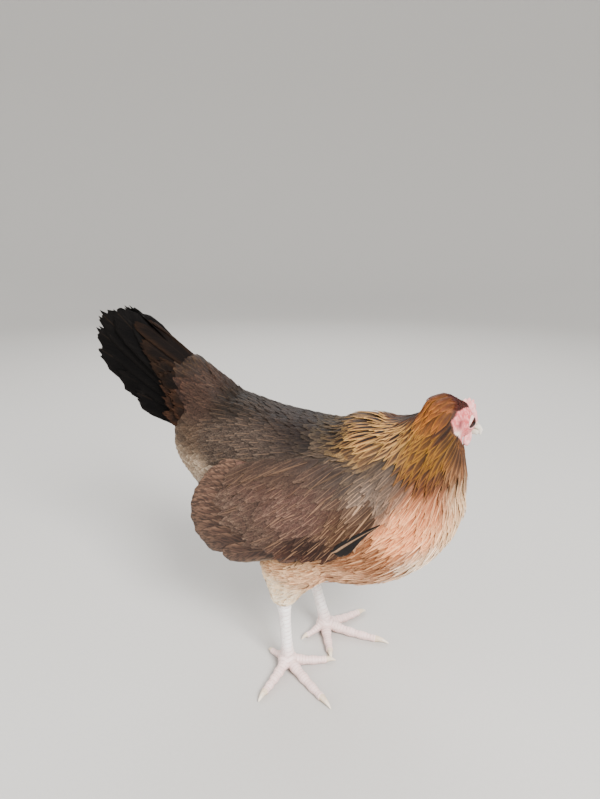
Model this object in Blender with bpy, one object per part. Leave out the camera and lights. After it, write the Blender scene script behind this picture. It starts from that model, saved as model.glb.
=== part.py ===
"""A life-size Old English Game hen, standing with her head turned to her left.

Metres, +Z up. She faces +X and her left side is +Y. While she is modelled, the origin lies on the
floor midway between her feet. The last step shifts it to the middle of her whole outline.
"""

import math
import random

import bmesh
import bpy
from mathutils import Matrix, Vector
from mathutils.bvhtree import BVHTree

# Clearance between neighbouring sub-parts
GAP = 0.0003
# Distance by which a piece that is joined to another reaches into it
SINK = 0.0025
# Faces that meet at less than this angle after a Boolean become one
FLAT_ANGLE = math.radians(0.3)

# Torso outline: distance forward, top, bottom and half width of each station
TORSO = [
    (-0.122, 0.211, 0.176, 0.012),
    (-0.112, 0.226, 0.166, 0.022),
    (-0.094, 0.238, 0.152, 0.034),
    (-0.066, 0.238, 0.129, 0.046),
    (-0.030, 0.229, 0.104, 0.054),
    (0.010, 0.224, 0.089, 0.057),
    (0.050, 0.222, 0.088, 0.058),
    (0.082, 0.217, 0.099, 0.055),
    (0.105, 0.208, 0.116, 0.047),
    (0.120, 0.196, 0.134, 0.034),
    (0.129, 0.180, 0.154, 0.015),
]
TORSO_RINGS = 22
TORSO_SIDES = 22
TORSO_SQUARENESS = 2.25

# Neck: points up its middle, with the radius there fore and aft and across
NECK = [
    (Vector((0.052, 0.000, 0.156)), 0.0440, 0.0400),
    (Vector((0.070, 0.000, 0.183)), 0.0570, 0.0520),
    (Vector((0.093, -0.004, 0.207)), 0.0330, 0.0350),
    (Vector((0.107, -0.012, 0.231)), 0.0170, 0.0200),
    (Vector((0.111, -0.013, 0.245)), 0.0130, 0.0140),
    (Vector((0.114, -0.011, 0.253)), 0.0060, 0.0060),
]
NECK_RINGS = 13
NECK_SIDES = 16
# How many feathers go round the neck in each tier, from the top one down
HACKLE_AROUND = (8, 9, 11, 13)
HACKLE_TOP = 0.76
HACKLE_STEP = 0.16
# The hackle starts this far behind the middle of the head, and the bare throat this far below it
FACE_BACK = -0.0135
FACE_LOW = -0.0150
FACE_FRONT = 0.032
FACE_SIDE = 0.0190
# Below this height the front of the neck has only small feathers
HACKLE_FRONT_LOW = 0.200
HACKLE_LENGTH = 0.044
HACKLE_THICK = 0.0008
HACKLE_LIFT = 0.0024
HACKLE_ROLL = math.radians(6)

# Head: middle of the skull, the way the bill points, and sizes
HEAD_AT = Vector((0.1177, 0.000, 0.2325))
HEAD_TURN = math.radians(56)
HEAD_DIP = math.radians(22)
EYE_RADIUS = 0.0052

# Wing: how far it stands out, and where its parts lie seen from the side
WING_OUT = 0.0632
WING_MIDDLE_X = 0.020
WING_MIDDLE_Z = 0.150
WING_TUCK_X = 1.2
WING_TUCK_TOP = 6.5
WING_TUCK_LOW = 4.0
# The wing's long feathers lie at least this far out from the torso
WING_CLEAR = 0.0045

# Tail: where the quills start, then the length, the rise in degrees and how far the tip leans out for each
# feather of a side, from the top one down, and the same for the coverts that lie over them
TAIL_ROOT = Vector((-0.078, 0.0, 0.219))
TAIL_FEATHERS = [
    (0.112, 45.0, -0.0040),
    (0.130, 42.0, -0.0030),
    (0.140, 38.5, -0.0010),
    (0.137, 33.5, 0.0015),
    (0.127, 29.0, 0.0040),
    (0.104, 26.0, 0.0055),
    (0.084, 22.0, 0.0065),
]
TAIL_COVERTS = [
    (0.095, 37.5, -0.0030),
    (0.084, 36.0, 0.0000),
    (0.068, 34.0, 0.0020),
    (0.056, 31.0, 0.0030),
    (0.050, 26.0, 0.0035),
    (0.048, 19.0, 0.0035),
]
TAIL_WIDTH = 0.027
COVERT_ROOT = Vector((-0.078, 0.0, 0.243))
COVERT_WIDTH = 0.018
TAIL_THICK = 0.0008

# Legs: hock, ankle and the toes of each foot, as heading in degrees from +X and length with the claw
HOCK = {"right": Vector((-0.011, -0.030, 0.068)), "left": Vector((-0.008, 0.030, 0.068))}
ANKLE = {"right": Vector((-0.008, -0.029, 0.011)), "left": Vector((0.008, 0.029, 0.011))}
TOES = {
    "right": {
        "middle": (-35.0, 0.062),
        "inner": (27.0, 0.043),
        "outer": (-98.0, 0.049),
        "hind": (152.0, 0.027),
    },
    "left": {
        "middle": (0.0, 0.062),
        "inner": (-65.0, 0.042),
        "outer": (54.0, 0.051),
        "hind": (-126.0, 0.027),
    },
}
SHANK_RADIUS = 0.0052
TOE_RADIUS = 0.0043
CLAW_SHARE = 0.20

COLOURS = {
    "breast": (0.64, 0.38, 0.24),
    "hackle": (0.49, 0.21, 0.06),
    "face": (0.77, 0.38, 0.38),
    "comb": (0.85, 0.50, 0.48),
    "eye": (0.02, 0.006, 0.003),
    "horn": (0.70, 0.61, 0.50),
    "shank": (0.86, 0.76, 0.73),
    "wing": (0.19, 0.10, 0.065),
    "tail": (0.014, 0.012, 0.013),
}


def fresh_scene():
    """Empties the scene and makes the collections of parts and cutters."""
    for obj in list(bpy.data.objects):
        bpy.data.objects.remove(obj, do_unlink=True)
    groups = {}
    for name in ("game_hen", "cutters"):
        group = bpy.data.collections.new(name)
        bpy.context.scene.collection.children.link(group)
        groups[name] = group
    return groups


GROUPS = fresh_scene()


def material(name, colour, roughness):
    made = bpy.data.materials.new(name)
    made.use_nodes = True
    shader = made.node_tree.nodes["Principled BSDF"]
    shader.inputs["Base Color"].default_value = (*COLOURS[colour], 1.0)
    shader.inputs["Roughness"].default_value = roughness
    return made


def new_object(name, shape, group="cutters"):
    """Makes an object of a bmesh, with its faces pointing out."""
    bmesh.ops.recalc_face_normals(shape, faces=shape.faces[:])
    mesh = bpy.data.meshes.new(name)
    shape.to_mesh(mesh)
    shape.free()
    obj = bpy.data.objects.new(name, mesh)
    GROUPS[group].objects.link(obj)
    if group == "cutters":
        obj.hide_render = True
        obj.display_type = "WIRE"
    return obj


def remove(obj):
    bpy.data.objects.remove(obj, do_unlink=True)


def settle(obj):
    """Replaces an object's mesh by what its modifiers make of it, keeping the largest closed surface."""
    bpy.context.view_layer.update()
    graph = bpy.context.evaluated_depsgraph_get()
    mesh = bpy.data.meshes.new_from_object(obj.evaluated_get(graph))
    obj.modifiers.clear()
    shape = bmesh.new()
    shape.from_mesh(mesh)
    bmesh.ops.dissolve_limit(shape, angle_limit=FLAT_ANGLE, verts=shape.verts[:], edges=shape.edges[:])
    bmesh.ops.triangulate(shape, faces=shape.faces[:])
    bmesh.ops.dissolve_degenerate(shape, edges=shape.edges[:], dist=0.000002)
    keep_largest(shape)
    shape.to_mesh(mesh)
    shape.free()
    obj.data = mesh
    return obj


def keep_largest(shape):
    """Deletes all but the connected surface with the most area."""
    left = set(shape.faces)
    pieces = []
    while left:
        piece = set()
        queue = [left.pop()]
        while queue:
            face = queue.pop()
            piece.add(face)
            for edge in face.edges:
                for near in edge.link_faces:
                    if near in left:
                        left.discard(near)
                        queue.append(near)
        pieces.append(piece)
    if len(pieces) > 1:
        pieces.sort(key=lambda piece: sum(face.calc_area() for face in piece))
        loose = [face for piece in pieces[:-1] for face in piece]
        bmesh.ops.delete(shape, geom=loose, context="FACES")
        bmesh.ops.delete(shape, geom=[v for v in shape.verts if not v.link_faces], context="VERTS")


def fuse(core, pieces, solver="EXACT"):
    """Joins closed pieces to a core by one Boolean union on a collection."""
    if not pieces:
        return core
    group = bpy.data.collections.new("fusing")
    bpy.context.scene.collection.children.link(group)
    for piece in pieces:
        for old in list(piece.users_collection):
            old.objects.unlink(piece)
        group.objects.link(piece)
    joint = core.modifiers.new("fuse", "BOOLEAN")
    joint.operation = "UNION"
    joint.operand_type = "COLLECTION"
    joint.collection = group
    joint.solver = solver
    settle(core)
    for piece in pieces:
        remove(piece)
    bpy.data.collections.remove(group)
    return core


def grown(obj, by=GAP):
    """A cutter: a copy of an object with its surface moved out along its normals."""
    shape = bmesh.new()
    shape.from_mesh(obj.data)
    shape.normal_update()
    moves = [(vertex, vertex.normal * min(vertex.calc_shell_factor(), 1.5) * by) for vertex in shape.verts]
    for vertex, move in moves:
        vertex.co += move
    return new_object(obj.name + "_grown", shape)


def cut(obj, cutters, solver="EXACT"):
    """Takes cutters out of an object, and removes them."""
    for cutter in cutters:
        step = obj.modifiers.new("cut", "BOOLEAN")
        step.operation = "DIFFERENCE"
        step.object = cutter
        step.solver = solver
    settle(obj)
    for cutter in cutters:
        remove(cutter)
    return obj


def finish(obj, name, surface):
    """Moves a shape to the parts under its node's name, with its material and smooth shading."""
    obj.name = name
    obj.data.name = name
    for old in list(obj.users_collection):
        old.objects.unlink(obj)
    GROUPS["game_hen"].objects.link(obj)
    obj.hide_render = False
    obj.display_type = "TEXTURED"
    obj.data.materials.clear()
    obj.data.materials.append(surface)
    obj.data.shade_smooth()
    obj.data.set_sharp_from_angle(angle=math.radians(40))
    return obj


def blend(rows, place):
    """Reads a table of stations at a place from 0 to 1, along a smooth curve through its rows."""
    span = place * (len(rows) - 1)
    start = min(int(span), len(rows) - 2)
    t = span - start
    rows_near = [rows[max(0, min(len(rows) - 1, start + step))] for step in (-1, 0, 1, 2)]
    values = []
    for before, here, after, beyond in zip(*rows_near):
        bend = (after - before) * t
        bend += (2 * before - 5 * here + 4 * after - beyond) * t * t
        bend += (3 * here - before - 3 * after + beyond) * t * t * t
        values.append(here + 0.5 * bend)
    return values


def loft(name, rings, group="cutters"):
    """A closed solid through rings of points, with a point in the middle of each end."""
    shape = bmesh.new()
    loops = [[shape.verts.new(point) for point in ring] for ring in rings]
    count = len(loops[0])
    for near, far in zip(loops, loops[1:]):
        for i in range(count):
            j = (i + 1) % count
            shape.faces.new((near[i], near[j], far[j], far[i]))
    for loop in (loops[0], loops[-1]):
        middle = shape.verts.new(sum((vertex.co for vertex in loop), Vector()) / count)
        for i in range(count):
            shape.faces.new((loop[i], loop[(i + 1) % count], middle))
    return new_object(name, shape, group)


def oval(middle, side, up, across, rise, drop, sides, squareness=2.0):
    """A ring round a middle point: half width across, height above and below, rounder or squarer."""
    ring = []
    for i in range(sides):
        turn = 2 * math.pi * i / sides
        c = math.copysign(abs(math.cos(turn)) ** (2 / squareness), math.cos(turn))
        s = math.copysign(abs(math.sin(turn)) ** (2 / squareness), math.sin(turn))
        ring.append(middle + side * (across * c) + up * ((rise if s > 0 else drop) * s))
    return ring


def tube(name, points, radii, sides=10, flat=1.0):
    """A round bar through points, with a radius at each, flattened by a factor from top to bottom."""
    rings = []
    for i, point in enumerate(points):
        along = (points[min(i + 1, len(points) - 1)] - points[max(i - 1, 0)]).normalized()
        side = along.cross(Vector((0, 0, 1)))
        if side.length < 0.01:
            side = along.cross(Vector((1, 0, 0)))
        side.normalize()
        up = side.cross(along)
        rings.append(oval(point, side, up, radii[i], radii[i] * flat, radii[i] * flat, sides))
    return loft(name, rings)


def ellipsoid(name, middle, radii, turn=None, rings=8, sides=12):
    shape = bmesh.new()
    bmesh.ops.create_uvsphere(shape, u_segments=sides, v_segments=rings, radius=1.0)
    place = Matrix.Translation(middle) @ (turn or Matrix.Identity(4)) @ Matrix.Diagonal((*radii, 1.0))
    bmesh.ops.transform(shape, matrix=place, verts=shape.verts[:])
    return new_object(name, shape)


def vane(name, line, ups, half_widths, thick, roll=0.0):
    """A feather's blade along a line of points, split into triangles alike on both faces.

    ups are the directions that its upper face looks in, turned about the shaft by the roll, so that
    one edge lies over the next feather and the other under the last. The last point is its tip.
    """
    shape = bmesh.new()
    rings = []
    for i in range(len(line) - 1):
        along = (line[i + 1] - line[max(i - 1, 0)]).normalized()
        side = along.cross(Matrix.Rotation(roll, 3, along) @ ups[i]).normalized()
        up = side.cross(along)
        corners = []
        for across, rise in ((-1, 0.5), (1, 0.5), (1, -0.5), (-1, -0.5)):
            corners.append(shape.verts.new(line[i] + side * half_widths[i] * across + up * thick * rise))
        rings.append(corners)
    for near, far in zip(rings, rings[1:]):
        for i, j in ((0, 1), (1, 2), (3, 2), (0, 3)):
            shape.faces.new((near[i], near[j], far[j]))
            shape.faces.new((near[i], far[j], far[i]))
    tip = shape.verts.new(line[-1])
    last = rings[-1]
    for i, j in ((0, 1), (1, 2), (2, 3), (3, 0)):
        shape.faces.new((last[i], last[j], tip))
    first = rings[0]
    shape.faces.new((first[0], first[1], first[2]))
    shape.faces.new((first[0], first[2], first[3]))
    return new_object(name, shape)


class Skin:
    """The surface of some shapes, to lay feathers on."""

    def __init__(self, objects):
        points = []
        faces = []
        for obj in objects:
            start = len(points)
            points += [vertex.co.copy() for vertex in obj.data.vertices]
            faces += [[start + i for i in face.vertices] for face in obj.data.polygons]
        self.tree = BVHTree.FromPolygons(points, faces)

    def onto(self, point):
        place, normal, _, _ = self.tree.find_nearest(point)
        return place, normal


def combed(skin, root, flow, length, steps, lift, sink=SINK):
    """Points and upward directions of a feather that lies on a skin, with its root sunk in."""
    place, normal = skin.onto(root)
    line = [place - normal * sink - flow(place) * sink]
    ups = [normal]
    at = place
    for step in range(1, steps + 1):
        way = flow(at)
        way = (way - normal * way.dot(normal)).normalized()
        at, normal = skin.onto(at + way * (length / steps))
        line.append(at + normal * (lift * step / steps + 0.0010))
        ups.append(normal)
    return line, ups


def torso():
    rings = []
    for i in range(TORSO_RINGS):
        x, top, bottom, across = blend(TORSO, i / (TORSO_RINGS - 1))
        middle = Vector((x, 0, (top + bottom) / 2))
        half = (top - bottom) / 2
        rings.append(oval(middle, Vector((0, 1, 0)), Vector((0, 0, 1)), across, half, half,
                          TORSO_SIDES, TORSO_SQUARENESS))
    return loft("torso", rings)


def neck_core():
    rings = []
    spine = [blend([tuple(row[0]) for row in NECK], i / (NECK_RINGS - 1)) for i in range(NECK_RINGS)]
    for i in range(NECK_RINGS):
        fore, across = blend([row[1:] for row in NECK], i / (NECK_RINGS - 1))
        ahead = Vector(spine[min(i + 1, NECK_RINGS - 1)]) - Vector(spine[max(i - 1, 0)])
        side = Vector((0, 1, 0))
        front = side.cross(ahead.normalized()).normalized()
        rings.append(oval(Vector(spine[i]), side, front, across, fore, fore, NECK_SIDES))
    return loft("neck", rings)


def hackle(skin, draw):
    """The pointed feathers of the neck, in tiers from under the head to the shoulders."""
    crown = HEAD_AT + Vector((-0.004, -0.008, 0.016))

    def flow(point):
        away = point - crown
        return (away.normalized() + Vector((-0.25, 0, 0))).normalized()

    feathers = []
    for tier, around in enumerate(HACKLE_AROUND):
        place = HACKLE_TOP - HACKLE_STEP * tier
        x, y, z = blend([tuple(row[0]) for row in NECK], place)
        fore, across = blend([row[1:] for row in NECK], place)
        for i in range(around):
            turn = 2 * math.pi * (i + 0.5 * (tier % 2)) / around
            # The cape is longest over the back and shortest under the throat
            behind = 0.5 - 0.5 * math.cos(turn)
            ahead = fore * math.cos(turn)
            start = Vector((x + ahead, y + across * math.sin(turn), z - 0.3 * ahead))
            # The shoulders in front of the wings, and the breast, have only small feathers
            low = tier == len(HACKLE_AROUND) - 1 and abs(math.sin(turn)) > 0.75
            if low or (math.cos(turn) > 0.1 and start.z < HACKLE_FRONT_LOW):
                continue
            length = HACKLE_LENGTH * (0.62 + 0.07 * tier) * (0.72 + 0.32 * behind)
            length *= draw.uniform(0.92, 1.06)
            line, ups = combed(skin, start, flow, length, 3, HACKLE_LIFT)
            half = math.pi * (fore + across) / around * 0.62
            widths = [half * share for share in (0.6, 1.0, 0.8)]
            roll = math.copysign(HACKLE_ROLL, math.sin(turn)) if abs(math.sin(turn)) > 0.01 else 0.0
            feathers.append(vane("hackle_feather", line, ups, widths, HACKLE_THICK, roll))
    return feathers


def bare_face():
    """A cutter for the room in front of the hackle, where the face and throat are bare."""
    shape = bmesh.new()
    bmesh.ops.create_cube(shape, size=1.0)
    low = Vector((FACE_BACK, -FACE_SIDE, FACE_LOW))
    high = Vector((FACE_FRONT, FACE_SIDE, 0.032))
    middle = Matrix.Translation((low + high) / 2)
    place = head_frame() @ middle @ Matrix.Diagonal((*(high - low), 1.0))
    bmesh.ops.transform(shape, matrix=place, verts=shape.verts[:])
    return new_object("bare_face", shape)


def torso_y(x, z):
    """Half width of the torso at a point of its side view, or 0 outside it."""
    rows = [row for row in TORSO if row[0] <= x]
    i = min(len(rows) - 1, len(TORSO) - 2)
    share = (x - TORSO[i][0]) / (TORSO[i + 1][0] - TORSO[i][0])
    _, top, bottom, across = (a + (b - a) * share for a, b in zip(TORSO[i], TORSO[i + 1]))
    height = abs(2 * z - top - bottom) / (top - bottom)
    return across * (1 - height ** TORSO_SQUARENESS) ** (1 / TORSO_SQUARENESS) if height < 1 else 0.0


def wing_y(x, z):
    """How far out the folded wing's surface lies at a point of its side view."""
    tuck = WING_TUCK_TOP if z > WING_MIDDLE_Z else WING_TUCK_LOW
    folded = WING_OUT - WING_TUCK_X * (x - WING_MIDDLE_X) ** 2 - tuck * (z - WING_MIDDLE_Z) ** 2
    return max(folded, torso_y(x, z) + WING_CLEAR)


def wing_point(x, z, out, sign):
    return Vector((x, sign * (wing_y(x, z) + out), z))


def wing_normal(x, z, sign):
    step = 0.004
    along = wing_point(x + step, z, 0, sign) - wing_point(x - step, z, 0, sign)
    rise = wing_point(x, z + step, 0, sign) - wing_point(x, z - step, 0, sign)
    normal = along.cross(rise).normalized()
    return normal if normal.y * sign > 0 else -normal


# Folded wing seen from the side, as (forward, up): outline of the fleshy part, from the shoulder over the top
WING_CORE = [
    (0.070, 0.177),
    (0.062, 0.195),
    (0.042, 0.205),
    (0.010, 0.203),
    (-0.022, 0.193),
    (-0.034, 0.175),
    (-0.024, 0.152),
    (0.004, 0.138),
    (0.032, 0.134),
    (0.058, 0.149),
]
# The core's surface falls away backward, under the long feathers, as far out from their surface
WING_CORE_FRONT = (0.060, 0.0036)
WING_CORE_REAR = (-0.030, -0.0034)

# Each tier of a wing: how many feathers, width, how far out they lie, how far the middle tips stick out
# behind, lengths of blade in each, and roots and tips of the lowest and highest one seen from the side
WING_TIERS = [
    ("primary", 3, 0.016, -0.0026, 0.000, 4,
     ((0.046, 0.141), (0.034, 0.150)), ((-0.050, 0.110), (-0.074, 0.122))),
    ("secondary", 8, 0.021, 0.0, 0.027, 4,
     ((0.032, 0.140), (0.000, 0.194)), ((-0.056, 0.112), (-0.060, 0.185))),
    ("greater_covert", 6, 0.023, 0.0028, 0.013, 3,
     ((0.050, 0.147), (0.016, 0.200)), ((0.002, 0.129), (-0.030, 0.195))),
    ("median_covert", 5, 0.025, 0.0054, 0.008, 3,
     ((0.062, 0.158), (0.040, 0.202)), ((0.026, 0.142), (0.004, 0.203))),
]
WING_ROLL = math.radians(5.5)
WING_THICK = 0.0008
# How much of its full width a feather has at each length of its blade
VANE_SHARES = {4: (0.55, 0.9, 1.0, 0.82), 3: (0.6, 1.0, 0.85)}


def core_out(x):
    """How far the surface of the wing's fleshy part lies out from that of its long feathers."""
    (front_x, front), (rear_x, rear) = WING_CORE_FRONT, WING_CORE_REAR
    share = min(1.0, max(0.0, (x - rear_x) / (front_x - rear_x)))
    return rear + (front - rear) * share


def wing_feathers(sign, draw):
    feathers = []
    for name, count, width, tier_out, bulge, steps, roots, tips in WING_TIERS:
        for i in range(count):
            share = i / (count - 1)
            root = Vector(roots[0]).lerp(Vector(roots[1]), share)
            tip = Vector(tips[0]).lerp(Vector(tips[1]), share)
            # The tips of a tier lie on a rounded line, furthest back below its middle
            tip.x -= bulge * math.sin(math.pi * share ** 0.75) ** 0.6 + draw.uniform(-0.0015, 0.0015)
            line = []
            ups = []
            for step in range(steps + 1):
                t = step / steps
                at = root.lerp(tip, t)
                at.y += 0.005 * math.sin(math.pi * t)
                out = tier_out - 0.0010 * t if step else core_out(at.x) - 0.0022
                line.append(wing_point(at.x, at.y, out, sign))
                ups.append(wing_normal(at.x, at.y, sign))
            widths = [width / 2 * part for part in VANE_SHARES[steps]]
            feathers.append(vane(name, line, ups, widths, WING_THICK, sign * WING_ROLL))
    return feathers


def wing_core(sign):
    """The fleshy part of the folded wing, with a rounded edge, reaching into the torso."""
    rings = []
    middle = Vector((sum(x for x, _ in WING_CORE), sum(z for _, z in WING_CORE))) / len(WING_CORE)
    # Each ring is the outline drawn in by a share, at a depth below the surface
    for share, depth in ((0.55, 0.0), (0.86, 0.0008), (1.0, 0.004), (1.0, 0.016), (0.8, 0.026)):
        ring = []
        for x, z in WING_CORE:
            at = middle + (Vector((x, z)) - middle) * share
            ring.append(wing_point(at.x, at.y, core_out(at.x) - depth, sign))
        rings.append(ring)
    return loft("wing", rings)


def tail_core():
    """The fleshy root of the tail, a blunt wedge that rises backward."""
    start = Vector((-0.066, 0, 0.204))
    along = Vector((-math.cos(math.radians(38)), 0, math.sin(math.radians(38))))
    up = Vector((-along.z, 0, along.x)) * -1
    rings = []
    for share, rise, drop, across in ((0.0, 0.030, 0.018, 0.026), (0.35, 0.031, 0.019, 0.024),
                                      (0.7, 0.026, 0.018, 0.017), (1.0, 0.015, 0.012, 0.009)):
        rings.append(oval(start + along * 0.052 * share, Vector((0, 1, 0)), up, across, rise, drop, 14))
    return loft("tail", rings)


def side_feather(name, root, rise, length, width, lean, sign, tilt, droop=0.0):
    """A tail feather that rises backward at an angle in degrees, its flat side tilted up from the side."""
    steps = 4
    line = []
    ups = []
    for step in range(steps + 1):
        t = step / steps
        angle = math.radians(rise - droop * t)
        along = Vector((-math.cos(angle), 0, math.sin(angle)))
        spread = Vector((0, sign * lean * t * t, 0))
        line.append(root + along * length * t + spread)
        ups.append(Vector((0.0, sign * math.cos(tilt), math.sin(tilt))))
    half = width / 2
    return vane(name, line, ups, [half * part for part in (0.42, 0.85, 1.0, 0.86)], TAIL_THICK)


def tail_feathers(draw):
    feathers = []
    for sign in (-1, 1):
        for i, (length, rise, lean) in enumerate(TAIL_FEATHERS):
            # The top pair makes a ridge, and each feather lies inside the one above it, like a closed tent
            out = 0.0130 - 0.0013 * i if i > 1 else (0.0065, 0.0105)[i]
            tilt = math.radians((58, 32)[i] if i < 2 else 10)
            root = TAIL_ROOT + Vector((0.0, sign * out, -0.0031 * i))
            feathers.append(side_feather("tail_feather", root, rise, length, TAIL_WIDTH, lean, sign, tilt))
        for i, (length, rise, lean) in enumerate(TAIL_COVERTS):
            out = 0.0152 - 0.0003 * i if i > 1 else (0.0075, 0.0125)[i]
            tilt = math.radians((58, 32)[i] if i < 2 else 10)
            root = COVERT_ROOT + Vector((0.0, sign * out, -0.0075 * i))
            reach = length * draw.uniform(0.97, 1.03)
            covert = side_feather("tail_covert", root, rise, reach, COVERT_WIDTH, lean, sign, tilt, 4.0)
            feathers.append(covert)
    return feathers


def head_frame():
    """Turns head coordinates (forward, left, up) into the hen's."""
    turn = Matrix.Rotation(HEAD_TURN, 4, "Z")
    dip = Matrix.Rotation(HEAD_DIP, 4, "Y")
    return Matrix.Translation(HEAD_AT) @ turn @ dip


# Skull and cheeks in head coordinates: forward, height above, depth below and half width
HEAD_STATIONS = [
    (-0.0230, 0.003, 0.004, 0.004),
    (-0.0195, 0.0085, 0.0095, 0.0090),
    (-0.0120, 0.0150, 0.0125, 0.0122),
    (-0.0030, 0.0158, 0.0128, 0.0128),
    (0.0050, 0.0136, 0.0118, 0.0112),
    (0.0115, 0.0095, 0.0095, 0.0082),
    (0.0160, 0.0066, 0.0072, 0.0060),
]


def in_head(x, y, z):
    return head_frame() @ Vector((x, y, z))


def head_axes():
    turned = head_frame().to_3x3()
    return turned @ Vector((1, 0, 0)), turned @ Vector((0, 1, 0)), turned @ Vector((0, 0, 1))


def head_loft(name, stations, sides, squareness=2.0, drop=0.0):
    _, left, up = head_axes()
    rings = []
    for x, above, below, across in stations:
        rings.append(oval(in_head(x, 0, drop), left, up, across, above, below, sides, squareness))
    return loft(name, rings)


def head():
    stations = [blend(HEAD_STATIONS, i / 10) for i in range(11)]
    skull = head_loft("head", stations, 16, 2.1)
    pieces = []
    cutters = []
    for sign in (-1, 1):
        middle = in_head(0.0030, sign * 0.0086, 0.0022)
        cutters.append(ellipsoid("socket", middle, (EYE_RADIUS + GAP,) * 3))
        pieces.append(lid_ring(sign))
    fuse(skull, pieces)
    return cut(skull, cutters)


def lid_ring(sign):
    """The bare rim of both lids round an eye."""
    shape = bmesh.new()
    around = 12
    across = 6
    loops = []
    for i in range(around):
        turn = 2 * math.pi * i / around
        # The lids draw to a corner in front and behind
        reach = 0.0050 + 0.0006 * math.cos(2 * turn)
        middle = Vector((0.0030 + reach * math.cos(turn), 0, 0.0022 + (reach - 0.0009) * math.sin(turn)))
        loop = []
        for j in range(across):
            round_turn = 2 * math.pi * j / across
            shift = 0.0011 * math.cos(round_turn)
            at = Vector((middle.x + shift * math.cos(turn), sign * (0.0113 + 0.0011 * math.sin(round_turn)),
                         middle.z + shift * math.sin(turn)))
            loop.append(shape.verts.new(head_frame() @ at))
        loops.append(loop)
    for i in range(around):
        for j in range(across):
            near, far = loops[i], loops[(i + 1) % around]
            k = (j + 1) % across
            shape.faces.new((near[j], near[k], far[k], far[j]))
    return new_object("lids", shape)


def eye(sign):
    return ellipsoid("eye", in_head(0.0030, sign * 0.0086, 0.0022), (EYE_RADIUS,) * 3, rings=8, sides=14)


def bill():
    """The upper and lower halves of the bill, with the line of the mouth between them and two nostrils."""
    upper = [
        (0.0135, 0.0060, 0.0012, 0.0058),
        (0.0185, 0.0056, 0.0014, 0.0050),
        (0.0240, 0.0044, 0.0022, 0.0040),
        (0.0300, 0.0024, 0.0034, 0.0028),
        (0.0345, -0.0006, 0.0050, 0.0013),
    ]
    lower = [
        (0.0135, 0.0, 0.0046, 0.0048),
        (0.0190, -0.0002, 0.0044, 0.0040),
        (0.0250, -0.0008, 0.0042, 0.0029),
        (0.0300, -0.0018, 0.0040, 0.0016),
    ]
    upper_bill = bill_half("beak_upper", upper)
    lower_bill = bill_half("beak_lower", lower, -0.0016)
    nostrils = []
    for sign in (-1, 1):
        nostrils.append(ellipsoid("nostril", in_head(0.0205, sign * 0.0052, 0.0028), (0.0019, 0.0014, 0.0008),
                                  head_frame().to_3x3().to_4x4(), 6, 8))
    cut(upper_bill, nostrils)
    return upper_bill, lower_bill


def bill_half(name, stations, drop=0.0):
    _, left, up = head_axes()
    rings = []
    for i in range(7):
        x, above, below, across = blend(stations, i / 6)
        ring = []
        for k in range(10):
            turn = 2 * math.pi * k / 10
            height = (above if math.sin(turn) > 0 else below) * math.sin(turn)
            ring.append(in_head(x, across * math.cos(turn), height + drop))
        rings.append(ring)
    return loft(name, rings)


def comb():
    """A small single comb with five points, a thin blade along the top of the forehead."""
    start, end = 0.0005, 0.0235
    points = 5
    steps = points * 2
    rings = []
    for i in range(steps + 1):
        t = i / steps
        x = start + (end - start) * t
        crest = 0.0172 + 0.0042 * math.sin(math.pi * t) - 0.0075 * t
        top = crest + (0.0016 if i % 2 else -0.0012)
        low = 0.0105 - 0.0080 * t * t
        heights = (low, (low + top) / 2, top)
        left = [in_head(x, across, height) for across, height in zip((0.0016, 0.0013, 0.0006), heights)]
        right = [in_head(x, across, height) for across, height in zip((-0.0016, -0.0013, -0.0006), heights)]
        rings.append(left + right[::-1])
    return loft("comb", rings)


# A wattle from top to bottom: share of its length, half its depth fore and aft, half its thickness
WATTLE = [
    (0.0, 0.0030, 0.0012),
    (0.3, 0.0040, 0.0016),
    (0.65, 0.0040, 0.0016),
    (1.0, 0.0016, 0.0007),
]


def wattle(sign):
    rings = []
    ahead, left, _ = head_axes()
    for share, deep, across in WATTLE:
        middle = in_head(0.0135 - 0.001 * share, sign * (0.0048 + 0.0012 * share), -0.0062 - 0.0095 * share)
        rings.append(oval(middle, ahead, left, deep, across, across, 10))
    return loft("wattle", rings)


def earlobe(sign):
    turn = head_frame().to_3x3().to_4x4() @ Matrix.Rotation(math.radians(-20), 4, "Y")
    middle = in_head(-0.0100, sign * 0.0122, -0.0072)
    return ellipsoid("earlobe", middle, (0.0042, 0.0018, 0.0058), turn, 8, 12)


# A thigh from top to hock: share of its length, half its depth fore and aft, half its width
THIGH = [
    (0.0, 0.033, 0.022),
    (0.3, 0.030, 0.021),
    (0.55, 0.022, 0.017),
    (0.8, 0.013, 0.011),
    (1.0, 0.0078, 0.0072),
]


def thigh(side):
    sign = -1 if side == "right" else 1
    hock = HOCK[side]
    top = Vector((0.006, sign * 0.034, 0.122))
    rings = []
    for share, fore, across in THIGH:
        middle = top.lerp(hock, share)
        rings.append(oval(middle, Vector((0, 1, 0)), Vector((1, 0, 0)), across, fore, fore, 16))
    return loft("thigh_" + side, rings)


def shank(side):
    hock = HOCK[side]
    ankle = ANKLE[side]
    points = []
    radii = []
    for share, size in ((-0.10, 0.8), (0.0, 1.25), (0.12, 1.18), (0.3, 1.0), (0.75, 0.98), (0.93, 1.12)):
        points.append(hock.lerp(ankle, share))
        radii.append(SHANK_RADIUS * size)
    return tube("shank_" + side, points, radii, 12)


def toe_way(side, toe):
    heading, length = TOES[side][toe]
    return Vector((math.cos(math.radians(heading)), math.sin(math.radians(heading)), 0)), length


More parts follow.
